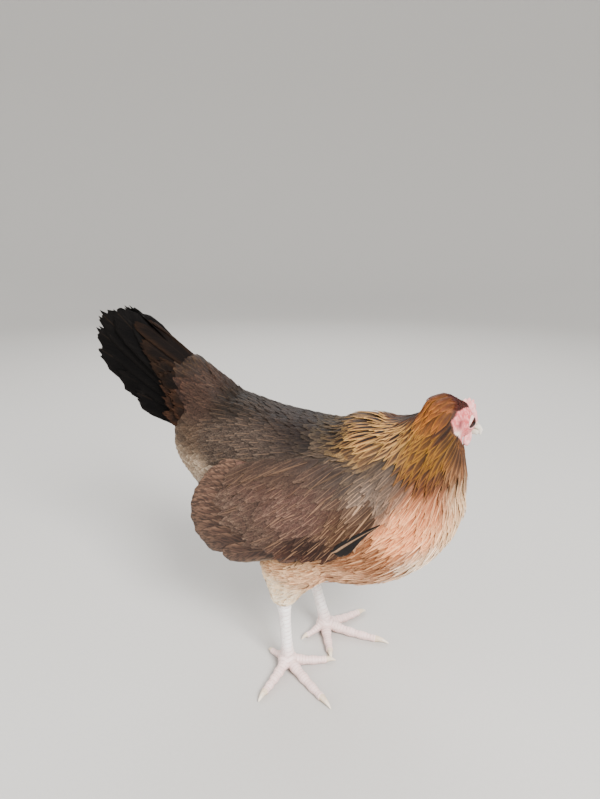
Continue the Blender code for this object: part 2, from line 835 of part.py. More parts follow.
def toe_points(side, toe):
    """Middle line of a toe from the ball of the foot to the claw's root, and its radii."""
    way, length = toe_way(side, toe)
    ball = Vector((ANKLE[side].x, ANKLE[side].y, 0))
    hind = toe == "hind"
    reach = length * (1 - CLAW_SHARE)
    joints = {"middle": 3, "inner": 2, "outer": 4, "hind": 1}[toe]
    points = []
    radii = []
    steps = joints * 2 + 2
    for i in range(steps + 1):
        t = i / steps
        height = 0.0042 + 0.0050 * (1 - t) ** 3 + (0.0040 * (1 - t) ** 2 if hind else 0.0)
        swell = 1.0 + (0.10 if i % 2 == 0 else -0.07)
        points.append(ball + way * reach * t + Vector((0, 0, height - 0.0010 * t)))
        radii.append(TOE_RADIUS * (0.8 if hind else 1.0) * (1.12 - 0.42 * t) * swell)
    return points, radii


def foot(side):
    """The ball of a foot with its four toes, each ending flat where the claw starts."""
    ankle = ANKLE[side]
    ball = ellipsoid("foot", Vector((ankle.x, ankle.y, 0.0075)), (0.0088, 0.0088, 0.0080), rings=6, sides=12)
    toes = []
    for toe in TOES[side]:
        points, radii = toe_points(side, toe)
        toes.append(tube("toe", points, radii, 8))
    fuse(ball, toes)
    floor = bmesh.new()
    bmesh.ops.create_cube(floor, size=1.0)
    place = Matrix.Translation((0, 0, -0.05)) @ Matrix.Diagonal((0.5, 0.5, 0.1, 1.0))
    bmesh.ops.transform(floor, matrix=place, verts=floor.verts[:])
    return cut(ball, [new_object("floor", floor)])


def claw(side, toe):
    """A curved claw from the flat end of a toe down to the floor."""
    points, radii = toe_points(side, toe)
    way, length = toe_way(side, toe)
    root = points[-1] + (points[-1] - points[-2]).normalized() * GAP
    reach = length * CLAW_SHARE
    line = []
    sizes = []
    for i in range(6):
        t = i / 5
        height = 0.0007 * math.sin(math.pi * t) - (root.z - 0.0012) * t ** 1.7
        line.append(root + way * reach * t + Vector((0, 0, height)))
        sizes.append(radii[-1] * 0.80 * (1 - t) ** 0.75 + 0.00035)
    return tube("claw", line, sizes, 8)


def build():
    draw = random.Random(11)
    plumage = ("breast", "hackle", "wing", "tail")
    feather = {name: material(name + "_feathers", name, 0.75) for name in plumage}
    bare = {name: material(name + "_skin", name, 0.55) for name in ("face", "comb", "shank")}
    horn = material("bill_and_claw_horn", "horn", 0.4)
    eye_gloss = material("dark_eye", "eye", 0.08)

    skull = head()
    nape = neck_core()
    body = torso()
    hackles = hackle(Skin([body, nape]), draw)
    finish(cut(body, [grown(nape)]), "torso", feather["breast"])
    fuse(nape, hackles, "MANIFOLD")
    lobes = [cut(earlobe(sign), [grown(skull)]) for sign in (1, -1)]
    cut(nape, [bare_face(), *(grown(piece) for piece in (body, skull, *lobes))], "MANIFOLD")
    finish(nape, "neck", feather["hackle"])

    upper_bill, lower_bill = bill()
    cut(upper_bill, [grown(skull)])
    finish(upper_bill, "beak_upper", horn)
    cut(lower_bill, [grown(skull), grown(upper_bill)])
    finish(lower_bill, "beak_lower", horn)
    crest = cut(comb(), [grown(skull), grown(upper_bill)])
    finish(crest, "comb", bare["comb"])
    for side, sign in (("left", 1), ("right", -1)):
        finish(eye(sign), "eye_" + side, eye_gloss)
        finish(lobes.pop(0), "earlobe_" + side, bare["comb"])
        near = [grown(piece) for piece in (skull, lower_bill, upper_bill, nape)]
        drop = cut(wattle(sign), near, "MANIFOLD")
        finish(drop, "wattle_" + side, bare["comb"])
    finish(skull, "head", bare["face"])

    rump = tail_core()
    fuse(rump, tail_feathers(draw), "MANIFOLD")
    cut(rump, [grown(body)], "MANIFOLD")
    finish(rump, "tail", feather["tail"])

    for side, sign in (("left", 1), ("right", -1)):
        ankle_foot = finish(foot(side), "foot_" + side, bare["shank"])
        leg = cut(shank(side), [grown(ankle_foot)])
        finish(leg, "shank_" + side, bare["shank"])
        drumstick = cut(thigh(side), [grown(body), grown(leg)], "MANIFOLD")
        finish(drumstick, "thigh_" + side, feather["breast"])
        folded = wing_core(sign)
        fuse(folded, wing_feathers(sign, draw), "MANIFOLD")
        cut(folded, [grown(body), grown(drumstick), grown(nape)], "MANIFOLD")
        finish(folded, "wing_" + side, feather["wing"])
        for toe in TOES[side]:
            nail = cut(claw(side, toe), [grown(ankle_foot)])
            finish(nail, "claw_" + toe + "_" + side, horn)


def centre_on_outline():
    """Shifts every part so that the origin lies under the middle of the whole hen's outline."""
    parts = GROUPS["game_hen"].objects
    points = [vertex.co for obj in parts for vertex in obj.data.vertices]
    low = Vector(min(point[axis] for point in points) for axis in range(3))
    high = Vector(max(point[axis] for point in points) for axis in range(3))
    middle = (low + high) / 2
    shift = Matrix.Translation((-middle.x, -middle.y, -low.z))
    for obj in parts:
        obj.data.transform(shift)


build()
centre_on_outline()
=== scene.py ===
"""The looks of a life-size Old English Game hen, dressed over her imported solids.

Metres, +Z up, and she faces +X. Her shapes are drawn with the origin on the floor midway between her
feet, as her solids were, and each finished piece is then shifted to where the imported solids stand.
"""

import math
import random
from functools import partial

import bmesh
import bpy
import numpy as np
from mathutils import Matrix, Vector


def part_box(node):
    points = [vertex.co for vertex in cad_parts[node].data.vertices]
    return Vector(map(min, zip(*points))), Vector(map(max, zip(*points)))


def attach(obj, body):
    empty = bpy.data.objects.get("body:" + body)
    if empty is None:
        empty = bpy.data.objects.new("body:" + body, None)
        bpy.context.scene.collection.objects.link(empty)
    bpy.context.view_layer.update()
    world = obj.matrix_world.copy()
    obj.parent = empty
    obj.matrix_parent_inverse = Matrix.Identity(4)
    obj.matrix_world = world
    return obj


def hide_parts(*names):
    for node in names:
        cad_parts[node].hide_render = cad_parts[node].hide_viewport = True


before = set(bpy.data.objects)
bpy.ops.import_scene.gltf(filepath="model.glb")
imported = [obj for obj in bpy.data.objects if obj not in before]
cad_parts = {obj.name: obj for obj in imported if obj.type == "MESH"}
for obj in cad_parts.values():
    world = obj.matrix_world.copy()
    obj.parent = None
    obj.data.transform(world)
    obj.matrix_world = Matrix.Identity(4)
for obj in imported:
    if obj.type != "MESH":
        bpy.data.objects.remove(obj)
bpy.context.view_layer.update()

# Sizes shared with the solids
TORSO = [
    (-0.122, 0.211, 0.176, 0.012), (-0.112, 0.226, 0.166, 0.022), (-0.094, 0.238, 0.152, 0.034),
    (-0.066, 0.238, 0.129, 0.046), (-0.030, 0.229, 0.104, 0.054), (0.010, 0.224, 0.089, 0.057),
    (0.050, 0.222, 0.088, 0.058), (0.082, 0.217, 0.099, 0.055), (0.105, 0.208, 0.116, 0.047),
    (0.120, 0.196, 0.134, 0.034), (0.129, 0.180, 0.154, 0.015),
]
TORSO_SQUARENESS = 2.25
NECK = [
    (0.052, 0.000, 0.156, 0.0440, 0.0400), (0.070, 0.000, 0.183, 0.0570, 0.0520),
    (0.093, -0.004, 0.207, 0.0330, 0.0350), (0.107, -0.012, 0.231, 0.0170, 0.0200),
    (0.111, -0.013, 0.245, 0.0130, 0.0140), (0.114, -0.011, 0.253, 0.0060, 0.0060),
]
HEAD_AT = Vector((0.1177, 0.000, 0.2325))
HEAD_TURN = math.radians(56)
HEAD_DIP = math.radians(22)
HEAD_STATIONS = [
    (-0.0230, 0.003, 0.004, 0.004), (-0.0195, 0.0085, 0.0095, 0.0090), (-0.0120, 0.0150, 0.0125, 0.0122),
    (-0.0030, 0.0158, 0.0128, 0.0128), (0.0050, 0.0136, 0.0118, 0.0112), (0.0115, 0.0095, 0.0095, 0.0082),
    (0.0160, 0.0066, 0.0072, 0.0060),
]
HEAD_SQUARENESS = 2.1
EYE_AT = (0.0030, 0.0086, 0.0022)
EYE_RADIUS = 0.0052
# The opening between the lids: half its length and width, and how far it slants up in front
LID_LONG, LID_SHORT, LID_SLANT = 0.0047, 0.0028, math.radians(76)
WING_OUT = 0.0632
WING_MIDDLE_X = 0.020
WING_MIDDLE_Z = 0.150
WING_TUCK_X = 1.2
WING_TUCK_TOP = 6.5
WING_TUCK_LOW = 4.0
WING_CLEAR = 0.0045
WING_CORE = [
    (0.070, 0.177), (0.062, 0.195), (0.042, 0.205), (0.010, 0.203), (-0.022, 0.193),
    (-0.034, 0.175), (-0.024, 0.152), (0.004, 0.138), (0.032, 0.134), (0.058, 0.149),
]
WING_CORE_FRONT = (0.060, 0.0036)
WING_CORE_REAR = (-0.030, -0.0034)
TAIL_ROOT = Vector((-0.078, 0.0, 0.219))
COVERT_ROOT = Vector((-0.078, 0.0, 0.243))
# Half widths of the tail's root, by the length along it
TAIL_ROOT_WIDTHS = [(-0.010, 0.026), (0.006, 0.0235), (0.018, 0.0215), (0.036, 0.0165), (0.050, 0.0148),
                    (0.062, 0.0120)]
THIGH = [
    (0.0, 0.033, 0.022), (0.3, 0.030, 0.021), (0.55, 0.022, 0.017),
    (0.8, 0.013, 0.011), (1.0, 0.0078, 0.0072),
]
# Middle of the left thigh's top
THIGH_TOP = (0.006, 0.034, 0.122)
SIDES = {"left": 1, "right": -1}
HOCK = {"right": Vector((-0.011, -0.030, 0.068)), "left": Vector((-0.008, 0.030, 0.068))}
ANKLE = {"right": Vector((-0.008, -0.029, 0.011)), "left": Vector((0.008, 0.029, 0.011))}
TOES = {
    "right": {
        "middle": (-35.0, 0.062),
        "inner": (27.0, 0.043),
        "outer": (-98.0, 0.049),
        "hind": (152.0, 0.027),
    },
    "left": {
        "middle": (0.0, 0.062),
        "inner": (-65.0, 0.042),
        "outer": (54.0, 0.051),
        "hind": (-126.0, 0.027),
    },
}
SHANK_RADIUS = 0.0052
TOE_RADIUS = 0.0043
CLAW_SHARE = 0.20

# How deep the coat is over the skin on the torso and thighs, and on the neck and wings, where the solids
# already carry their feathers above the flesh
COAT = 0.0030
THIN_COAT = 0.0010
NECK_COAT = -0.0003
SKIN_VOXEL = 0.0014
LEG_VOXEL = 0.0006
# The neck's front is fuller than its spine's widths: by how much, how high up, and over what height
THROAT_FULL = (0.0100, 0.205, 0.018)
# A feather's patch on the map that bakes the coats, as a share of the map's side
PATCH = 0.003
# The coats: most feathers to a square metre, how much their sizes vary, how far a lucky one rises
# over the others, and how far its edges lie below its shaft, as a share of its width
DENSEST = 400000.0
SIZE_VARIES = 0.14
LUCKY_RISE = 0.0005
EDGE_DROP = 0.10
# Thickness of the long feathers' blades
WING_THICK = 0.0003
TAIL_THICK = 0.0004
# Typical refraction of horn and feather, and of flesh, and how far light seeps through flesh
KERATIN_IOR = 1.54
FLESH_IOR = 1.4
FLESH_GLOW = (0.0030, 0.0012, 0.0008)
# How much brighter the pale shafts are than their colour
SHAFT_BRIGHTER = (1.35, 1.35, 1.35, 1.0)


def linear(code):
    """An sRGB hex colour as linear red, green, blue and alpha."""
    parts = [int(code[i:i + 2], 16) / 255 for i in (0, 2, 4)]
    return (*[p / 12.92 if p <= 0.04045 else ((p + 0.055) / 1.055) ** 2.4 for p in parts], 1.0)


HEAD = Matrix.Translation(HEAD_AT) @ (
    Matrix.Rotation(HEAD_TURN, 4, "Z") @ Matrix.Rotation(HEAD_DIP, 4, "Y"))
HEAD_AXES = HEAD.to_3x3()
AHEAD, LEFT, UP = (HEAD_AXES @ Vector(way) for way in ((1, 0, 0), (0, 1, 0), (0, 0, 1)))


def in_head(x, y, z):
    """A place given forward, left and up from the middle of the head."""
    return HEAD @ Vector((x, y, z))


def rows_of(points):
    """Points as an array with a row for each."""
    return np.array([tuple(point) for point in points]) if isinstance(points, list) else points


def in_head_space(points):
    return (rows_of(points) - np.array(HEAD_AT)) @ np.array(HEAD_AXES)


def from_head_space(spots):
    return spots @ np.array(HEAD_AXES).T + np.array(HEAD_AT)


def packed_shift():
    """From the drawing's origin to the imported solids', read off the left eye."""
    low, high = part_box("eye_left")
    return (Vector(low) + Vector(high)) / 2 - in_head(*EYE_AT)


SHIFT = packed_shift()


def ramp(value, low, high):
    """0 up to low, 1 from high on, and a soft step between."""
    t = np.clip((np.asarray(value, dtype=float) - low) / (high - low), 0.0, 1.0)
    return t * t * (3 - 2 * t)


def soft_spot(x, z, spot):
    """1 in the middle of a spot of the side view, given with its half widths, and less away from it."""
    at_x, at_z, half_x, half_z = spot
    return np.exp(-((x - at_x) / half_x) ** 2 - ((z - at_z) / half_z) ** 2)


def blend(rows, place):
    """A row of a table at a place from 0 to 1, along a smooth curve through its rows."""
    span = place * (len(rows) - 1)
    start = min(int(span), len(rows) - 2)
    t = span - start
    near = [np.array(rows[max(0, min(len(rows) - 1, start + step))]) for step in (-1, 0, 1, 2)]
    before, here, after, beyond = near
    bend = (after - before) * t + (2 * before - 5 * here + 4 * after - beyond) * t * t
    return here + 0.5 * (bend + (3 * here - before - 3 * after + beyond) * t ** 3)


# Meshes
def in_scene(name, data):
    obj = bpy.data.objects.new(name, data)
    bpy.context.scene.collection.objects.link(obj)
    return obj


def new_piece(name, points, faces, closed=True):
    """A piece from points and faces. The faces of a closed one are turned outward."""
    mesh = bpy.data.meshes.new(name)
    mesh.from_pydata([tuple(point) for point in points], [], faces)
    mesh.shade_smooth()
    if closed:
        shape = bmesh.new()
        shape.from_mesh(mesh)
        bmesh.ops.recalc_face_normals(shape, faces=shape.faces[:])
        shape.to_mesh(mesh)
        shape.free()
    return in_scene(name, mesh)


def shell(rings, capped=True):
    """Points and faces of a closed form through rings of points, with a point in the middle of each end."""
    count = len(rings[0])
    points = [point for ring in rings for point in ring]
    faces = []
    for i in range(len(rings) - 1):
        for j in range(count):
            k = (j + 1) % count
            faces.append((i * count + j, i * count + k, (i + 1) * count + k, (i + 1) * count + j))
    if capped:
        for ring, turned in ((0, True), (len(rings) - 1, False)):
            points.append(np.mean([np.array(point) for point in rings[ring]], axis=0))
            for j in range(count):
                k = (j + 1) % count
                ends = (k, j) if turned else (j, k)
                faces.append((*[ring * count + end for end in ends], len(points) - 1))
    return points, faces


def join_forms(forms):
    points, faces = [], []
    for form_points, form_faces in forms:
        start = len(points)
        points += [tuple(point) for point in form_points]
        faces += [tuple(start + i for i in face) for face in form_faces]
    return points, faces


def apply_modifiers(obj):
    graph = bpy.context.evaluated_depsgraph_get()
    mesh = bpy.data.meshes.new_from_object(obj.evaluated_get(graph))
    obj.modifiers.clear()
    obj.data = mesh
    mesh.shade_smooth()


def remeshed(name, forms, voxel, relax=None, rounds=12):
    """One closed surface round overlapping closed forms, relaxed by a weight for each point."""
    obj = new_piece(name, *join_forms(forms))
    step = obj.modifiers.new("remesh", "REMESH")
    step.mode = "VOXEL"
    step.voxel_size = voxel
    step.use_smooth_shade = True
    apply_modifiers(obj)
    if relax is not None:
        group = obj.vertex_groups.new(name="relax")
        for i, weight in enumerate(relax(points_of(obj.data))):
            group.add([i], float(weight), "REPLACE")
        smooth = obj.modifiers.new("relax", "SMOOTH")
        smooth.factor = 0.5
        smooth.iterations = rounds
        smooth.vertex_group = "relax"
        apply_modifiers(obj)
        obj.vertex_groups.clear()
    return obj


def points_of(mesh):
    flat = np.empty(len(mesh.vertices) * 3)
    mesh.vertices.foreach_get("co", flat)
    return flat.reshape(-1, 3)


def normals_of(mesh):
    flat = np.empty(len(mesh.vertices) * 3)
    mesh.vertex_normals.foreach_get("vector", flat)
    return flat.reshape(-1, 3)


def set_points(mesh, points):
    mesh.vertices.foreach_set("co", np.asarray(points, dtype=float).ravel())
    mesh.update()


def put(mesh, name, kind, values):
    """Stores a value for each point under a name: FLOAT, FLOAT_VECTOR or FLOAT_COLOR."""
    attribute = mesh.attributes.get(name) or mesh.attributes.new(name, kind, "POINT")
    field = {"FLOAT": "value", "FLOAT_VECTOR": "vector", "FLOAT_COLOR": "color"}[kind]
    attribute.data.foreach_set(field, np.asarray(values, dtype=np.float32).ravel())


def box_map(mesh):
    """The map that bakes a piece: its surface seen along each of six ways, side by side."""
    points = points_of(mesh)
    low, high = points.min(0), points.max(0)
    scale = 0.94 / (high - low).max()
    uvs = np.empty((len(mesh.loops), 2), dtype=np.float32)
    for face in mesh.polygons:
        normal = np.array(face.normal)
        axis = int(np.abs(normal).argmax())
        cell = axis * 2 + int(normal[axis] > 0)
        across = [i for i in range(3) if i != axis]
        for loop in face.loop_indices:
            spot = (points[mesh.loops[loop].vertex_index] - low)[across] * scale + 0.03
            uvs[loop] = ((cell % 3 + spot[0]) / 3, (cell // 3 + spot[1]) / 3)
    layer = mesh.uv_layers.get("OFBake") or mesh.uv_layers.new(name="OFBake")
    layer.data.foreach_set("uv", uvs.ravel())


def oval_ring(middle, side, up, across, rise, drop, sides, squareness=2.0):
    turns = np.arange(sides) * 2 * math.pi / sides
    c = np.sign(np.cos(turns)) * np.abs(np.cos(turns)) ** (2 / squareness)
    s = np.sign(np.sin(turns)) * np.abs(np.sin(turns)) ** (2 / squareness)
    height = np.where(s > 0, rise, drop) * s
    middle, side, up = (np.array(vector) for vector in (middle, side, up))
    return middle + np.outer(across * c, side) + np.outer(height, up)


def bar(points, radii, sides=16, flat=1.0):
    """A round bar through points with a radius at each, flattened by a factor from top to bottom."""
    rings = []
    for i, point in enumerate(points):
        along = (points[min(i + 1, len(points) - 1)] - points[max(i - 1, 0)]).normalized()
        side = along.cross(Vector((0, 0, 1)))
        if side.length < 0.01:
            side = along.cross(Vector((1, 0, 0)))
        side.normalize()
        up = side.cross(along)
        rings.append(oval_ring(point, side, up, radii[i], radii[i] * flat, radii[i] * flat, sides))
    return shell(rings)


# The skin's forms
def torso_form():
    """The torso, inside the solid one by the coat's depth."""
    rings = []
    for i in range(48):
        x, top, bottom, across = blend(TORSO, i / 47)
        half = max(0.003, (top - bottom) / 2 - COAT)
        x += COAT * (1 - 2 * i / 47)
        rings.append(oval_ring((x, 0, (top + bottom) / 2), (0, 1, 0), (0, 0, 1), max(0.003, across - COAT),
                               half, half, 48, TORSO_SQUARENESS))
    return shell(rings)


def neck_form():
    """The neck without its feathers, which the solids carry."""
    full, full_at, full_over = THROAT_FULL
    rings = []
    spine = [Vector(blend([row[:3] for row in NECK], i / 23)) for i in range(24)]
    for i in range(24):
        fore, across = blend([row[3:] for row in NECK], i / 23)
        ahead = (spine[min(i + 1, 23)] - spine[max(i - 1, 0)]).normalized()
        front = Vector((0, 1, 0)).cross(ahead).normalized()
        swell = full * math.exp(-((spine[i].z - full_at) / full_over) ** 2)
        rings.append(oval_ring(spine[i], (0, 1, 0), front, across - NECK_COAT, fore - NECK_COAT + swell,
                               fore - NECK_COAT, 32))
    return shell(rings)


def head_loft(stations, steps, sides, squareness=2.0, drop=0.0, shaved=0.0):
    """A form along the head's length, through stations of forward, above, below and half width."""
    rings = []
    for i in range(steps):
        x, above, below, across = blend(stations, i / (steps - 1))
        middle = in_head(x, 0, drop)
        rings.append(oval_ring(middle, LEFT, UP, across, above - shaved, below, sides, squareness))
    return shell(rings)


def tail_root_form():
    """The tail's fleshy root, drawn out between the coverts, so that the coat of the back runs up on it."""
    rows = np.array(TAIL_ROOT_WIDTHS)
    rings = []
    for s in np.linspace(rows[0, 0], rows[-1, 0], 32):
        top = np.array((-0.066 - s * math.cos(math.radians(37.5)), 0.2372 + s * math.sin(math.radians(37.5))))
        low = np.array((-0.074 - s * math.cos(math.radians(26)), 0.196 + s * math.sin(math.radians(26))))
        middle, up = (top + low) / 2, (top - low) / 2
        half = float(np.linalg.norm(up))
        blunt = 1.0 if s < rows[-2, 0] else 0.8
        rings.append(oval_ring((middle[0], 0, middle[1]), (0, 1, 0), (up[0] / half, 0, up[1] / half),
                               np.interp(s, rows[:, 0], rows[:, 1]), half * blunt, half * blunt, 36, 2.4))
    return shell(rings)


def thigh_form(side):
    x, y, z = THIGH_TOP
    top = Vector((x, SIDES[side] * y, z))
    rings = []
    for i in range(20):
        share, fore, across = blend(THIGH, i / 19)
        slim = COAT * 0.8 * (1 - 0.6 * i / 19)
        rings.append(oval_ring(top.lerp(HOCK[side], share), (0, 1, 0), (1, 0, 0), across - slim,
                               fore - slim, fore - slim, 28))
    return shell(rings)


def torso_y(x, z):
    """Half width of the torso's outline at points of its side view, or 0 outside it."""
    rows = np.array(TORSO)
    top, bottom, across = (np.interp(x, rows[:, 0], rows[:, i]) for i in (1, 2, 3))
    height = np.clip(np.abs(2 * z - top - bottom) / (top - bottom), 0.0, 1.0)
    return across * (1 - height ** TORSO_SQUARENESS) ** (1 / TORSO_SQUARENESS)


def wing_y(x, z):
    """How far out the folded wing's long feathers lie at a point of its side view."""
    tuck = WING_TUCK_TOP if z > WING_MIDDLE_Z else WING_TUCK_LOW
    folded = WING_OUT - WING_TUCK_X * (x - WING_MIDDLE_X) ** 2 - tuck * (z - WING_MIDDLE_Z) ** 2
    return max(folded, float(torso_y(x, z)) + WING_CLEAR)


def wing_point(x, z, out, sign):
    return Vector((x, sign * (wing_y(x, z) + out), z))


def core_out(x):
    """How far the wing's fleshy part lies out from the surface of its long feathers."""
    (front_x, front), (rear_x, rear) = WING_CORE_FRONT, WING_CORE_REAR
    return rear + (front - rear) * min(1.0, max(0.0, (x - rear_x) / (front_x - rear_x)))


def wing_form(sign):
    """The fleshy part of a folded wing: its outer face and edge, and a root inside the torso."""
    count = 40
    outline = [blend(WING_CORE + WING_CORE[:1], i / count) for i in range(count)]
    middle = np.mean(outline, axis=0)
    rings = []
    for share, depth in ((0.3, 0.0), (0.55, 0.0), (0.75, 0.0002), (0.88, 0.001), (0.97, 0.003),
                         (1.0, 0.006), (1.0, 0.016), (0.8, 0.026)):
        ring = []
        for spot in outline:
            x, z = middle + (spot - middle) * share
            ring.append(wing_point(x, z, core_out(x) - THIN_COAT - depth, sign))
        rings.append(ring)
    return shell(rings)


def relax_weight(points):
    """The body is relaxed until its joins are smooth, and the head hardly at all."""
    away = np.linalg.norm(points - np.array(HEAD_AT), axis=1)
    return 0.12 + 0.88 * ramp(away, 0.020, 0.036)


def skull_y(x, z):
    """Half width of the skull at a point of its side view, in head coordinates."""
    rows = np.array(HEAD_STATIONS)
    above, below, across = (np.interp(x, rows[:, 0], rows[:, i]) for i in (1, 2, 3))
    height = min(1.0, abs(z) / (above if z > 0 else below))
    return across * (1 - height ** HEAD_SQUARENESS) ** (1 / HEAD_SQUARENESS)


def lid_gap(turn):
    """Half width of the lids' narrowed opening in a direction; it slants up and forward."""
    slanted = turn - LID_SLANT
    return LID_LONG * LID_SHORT / np.hypot(LID_SHORT * np.cos(slanted), LID_LONG * np.sin(slanted))


def lids_form(sign):
    """Both lids of an eye: a swelling ring whose almond opening lies close on the eyeball."""
    around, rings = 40, []
    x0, y0, z0 = EYE_AT
    for ring in range(9):
        t = ring / 8
        row = []
        for i in range(around):
            turn = 2 * math.pi * i / around
            c, s = math.cos(turn), math.sin(turn)
            inner = Vector((c, s)) * lid_gap(turn)
            outer = Vector((0.0078 * c, 0.0068 * s))
            spot = outer.lerp(inner, t)
            x, z = x0 + spot.x, z0 + spot.y
            low = skull_y(x, z) - 0.0008
            high = y0 + math.sqrt(max(0.0, (EYE_RADIUS + 0.0006) ** 2 - spot.length_squared))
            y = low + (high - low) * float(ramp(t, 0.0, 0.85))
            y += 0.00022 * math.sin(t * 15.0) * (1 - t)
            row.append(in_head(x, sign * y, z))
        rings.append(row)
    # The rim turns in under the lid's edge
    for shrink, depth in ((0.97, 0.0006), (1.02, 0.0013)):
        row = []
        for i in range(around):
            turn = 2 * math.pi * i / around
            c, s = math.cos(turn), math.sin(turn)
            spot = Vector((c, s)) * lid_gap(turn) * shrink
            high = y0 + math.sqrt((EYE_RADIUS + 0.0006) ** 2 - spot.length_squared) - depth
            row.append(in_head(x0 + spot.x, sign * high, z0 + spot.y))
        rings.append(row)
    points, faces = shell(rings, capped=False)
    if sign > 0:
        faces = [face[::-1] for face in faces]
    return points, faces


# What grows where

# Named places of the plumage seen from the side, in millimetres: forward, up, reach both ways, then the
# feather's colour, its edge's and its dark marks', how clear the pale shaft, the dark streak and the fine
# peppering are, its length, width and lift in millimetres, and how many degrees below straight back it lies
PLUMAGE = {
    "nape": (108, 246, 14, 13, "894C1A", "9B6121", "3A1B08", 0.1, 0.25, 0.0, 20, 5.0, 2.0, 80),
    "hackle": (106, 217, 16, 14, "6B4314", "855D1B", "291304", 0.1, 0.60, 0.0, 26, 5.0, 2.4, 70),
    "low_hackle": (104, 196, 16, 9, "4C2A11", "70461D", "1B0B05", 0.1, 0.85, 0.0, 26, 5.0, 2.4, 62),
    # Painted shade: the throat's brown feathers are darkened for the shade on the front of the neck
    "throat": (129, 205, 10, 20, "5A2E14", "7A4420", "2A1409", 0.1, 0.55, 0.0, 20, 5.0, 3.4, 82),
    "cape": (60, 226, 22, 12, "865B32", "B48A4D", "140C09", 0.0, 1.00, 0.0, 27, 5.5, 2.4, 30),
    "cape_rear": (28, 224, 14, 12, "201A14", "41372A", "070504", 0.0, 0.90, 0.2, 26, 7.0, 2.4, 8),
    "back": (-4, 226, 22, 12, "1B120F", "291F18", "070404", 0.06, 0.45, 0.55, 24, 8.0, 2.4, 2),
    "saddle": (-48, 236, 26, 14, "150D06", "1D140B", "060302", 0.10, 0.20, 0.75, 24, 8.0, 2.4, -10),
    "saddle_side": (-50, 208, 26, 13, "3D3028", "4F4238", "1A1510", 0.18, 0.15, 0.80, 24, 8.0, 2.4, 14),
    "rump": (-92, 232, 16, 12, "3A291F", "4B352B", "180F0C", 0.08, 0.15, 0.80, 26, 9.0, 2.4, -24),
    "rump_side": (-98, 205, 14, 13, "493729", "5F4D3D", "281D16", 0.12, 0.10, 0.70, 24, 9.0, 2.6, 4),
    "vent": (-100, 178, 20, 12, "7E6A56", "AA9780", "54453A", 0.10, 0.00, 0.10, 22, 8.0, 3.0, 24),
    "under_rump": (-62, 150, 24, 16, "7D726C", "898381", "5D4F45", 0.10, 0.00, 0.10, 22, 8.0, 3.0, 14),
    "tail_cover": (-118, 264, 20, 14, "231812", "352617", "0D0A06", 0.06, 0.10, 0.60, 34, 10.0, 2.0, -38),
    "tail_cover_low": (-108, 234, 18, 12, "2C1D18", "42291F", "140A0A", 0.06, 0.10, 0.70, 32, 10.0, 2.0, -30),
    "shoulder": (46, 198, 20, 11, "372C24", "473A2E", "1A130F", 0.30, 0.15, 0.30, 26, 7.5, 2.4, 48),
    "shoulder_low": (68, 182, 13, 12, "58493E", "715D4F", "382A22", 0.55, 0.15, 0.25, 26, 7.0, 2.4, 52),
    "wing_top": (2, 196, 26, 11, "3C2A20", "4D3A2D", "1E140E", 0.20, 0.10, 0.60, 28, 8.5, 2.2, 36),
    "wing_front": (52, 162, 14, 13, "402819", "553E2A", "25140A", 0.75, 0.15, 0.30, 26, 7.0, 2.2, 50),
    "wing": (10, 170, 24, 18, "4D352D", "634B3F", "291B16", 0.38, 0.10, 0.60, 28, 8.5, 2.2, 38),
    # Painted shade: the next two rows, the wing's lowest brown coverts, are darkened near black for the
    # shadow along the wing's lower edge over the belly
    "wing_low_painted_shade": (22, 142, 16, 10, "1A0B06", "2B160C", "080302", 0.60, 0.10, 0.20, 26, 8.0, 2.2, 44),
    "wing_painted_shade": (16, 134, 24, 6, "38201A", "4A2D20", "1C100C", 0.35, 0.10, 0.10, 20, 7.5, 1.8, 34),
    "wing_rear": (-26, 150, 20, 16, "4A362D", "655042", "261C17", 0.14, 0.10, 0.80, 28, 9.0, 2.2, 14),
    "upper_breast": (108, 180, 14, 12, "81482C", "956141", "582612", 0.80, 0.60, 0.0, 27, 6.5, 2.6, 52),
    "breast": (98, 160, 16, 14, "D58152", "EFA470", "984927", 0.90, 0.65, 0.0, 29, 6.5, 2.6, 40),
    "breast_front": (124, 168, 10, 22, "CBA37A", "DDC29C", "9A6844", 0.70, 0.30, 0.0, 27, 7.0, 2.6, 66),
    "low_breast": (112, 126, 13, 14, "D5AE85", "FAE9D2", "B9835A", 0.85, 0.30, 0.0, 28, 7.5, 2.8, 28),
    "side": (60, 136, 22, 12, "79472A", "8B5E3E", "582812", 0.90, 0.60, 0.0, 29, 6.5, 2.6, 22),
    "belly": (40, 104, 34, 14, "AC7452", "D6A983", "7E4A2E", 0.85, 0.35, 0.0, 28, 7.0, 2.8, 14),
    "flank": (2, 118, 26, 12, "A37652", "CDA881", "71472B", 0.50, 0.25, 0.0, 26, 7.5, 2.8, 24),
    "thigh": (-6, 86, 18, 14, "F3D2A6", "F6E6CC", "CF9A6C", 0.15, 0.10, 0.0, 22, 6.5, 3.6, 70),
}
# Lower edge of the long neck feathers seen from the side: forward, up
HACKLE_EDGE = ((0.032, 0.246), (0.041, 0.235), (0.056, 0.226), (0.073, 0.214), (0.088, 0.203),
               (0.098, 0.193), (0.106, 0.187), (0.115, 0.186), (0.125, 0.192), (0.138, 0.202))
# How sharply one place of the plumage gives way to the next, and the share of a feather's length at
# which it takes the colours of the place it lies over, since only its outer half shows
PLUMAGE_SHARP = 1.1
FEATHER_SHOWS = 0.70
# Where the neck's feathers run from and their feather, edge and dark colours, and the painted shade beside
# the face
CROWN_AT = np.array(HEAD_AT + Vector((-0.004, -0.008, 0.016)))
CROWN = ("3C1510", "4A1F17", "240C09")
PAINTED_SHADE_BY_FACE = ("3C2010", "54311A", "1E0F08")


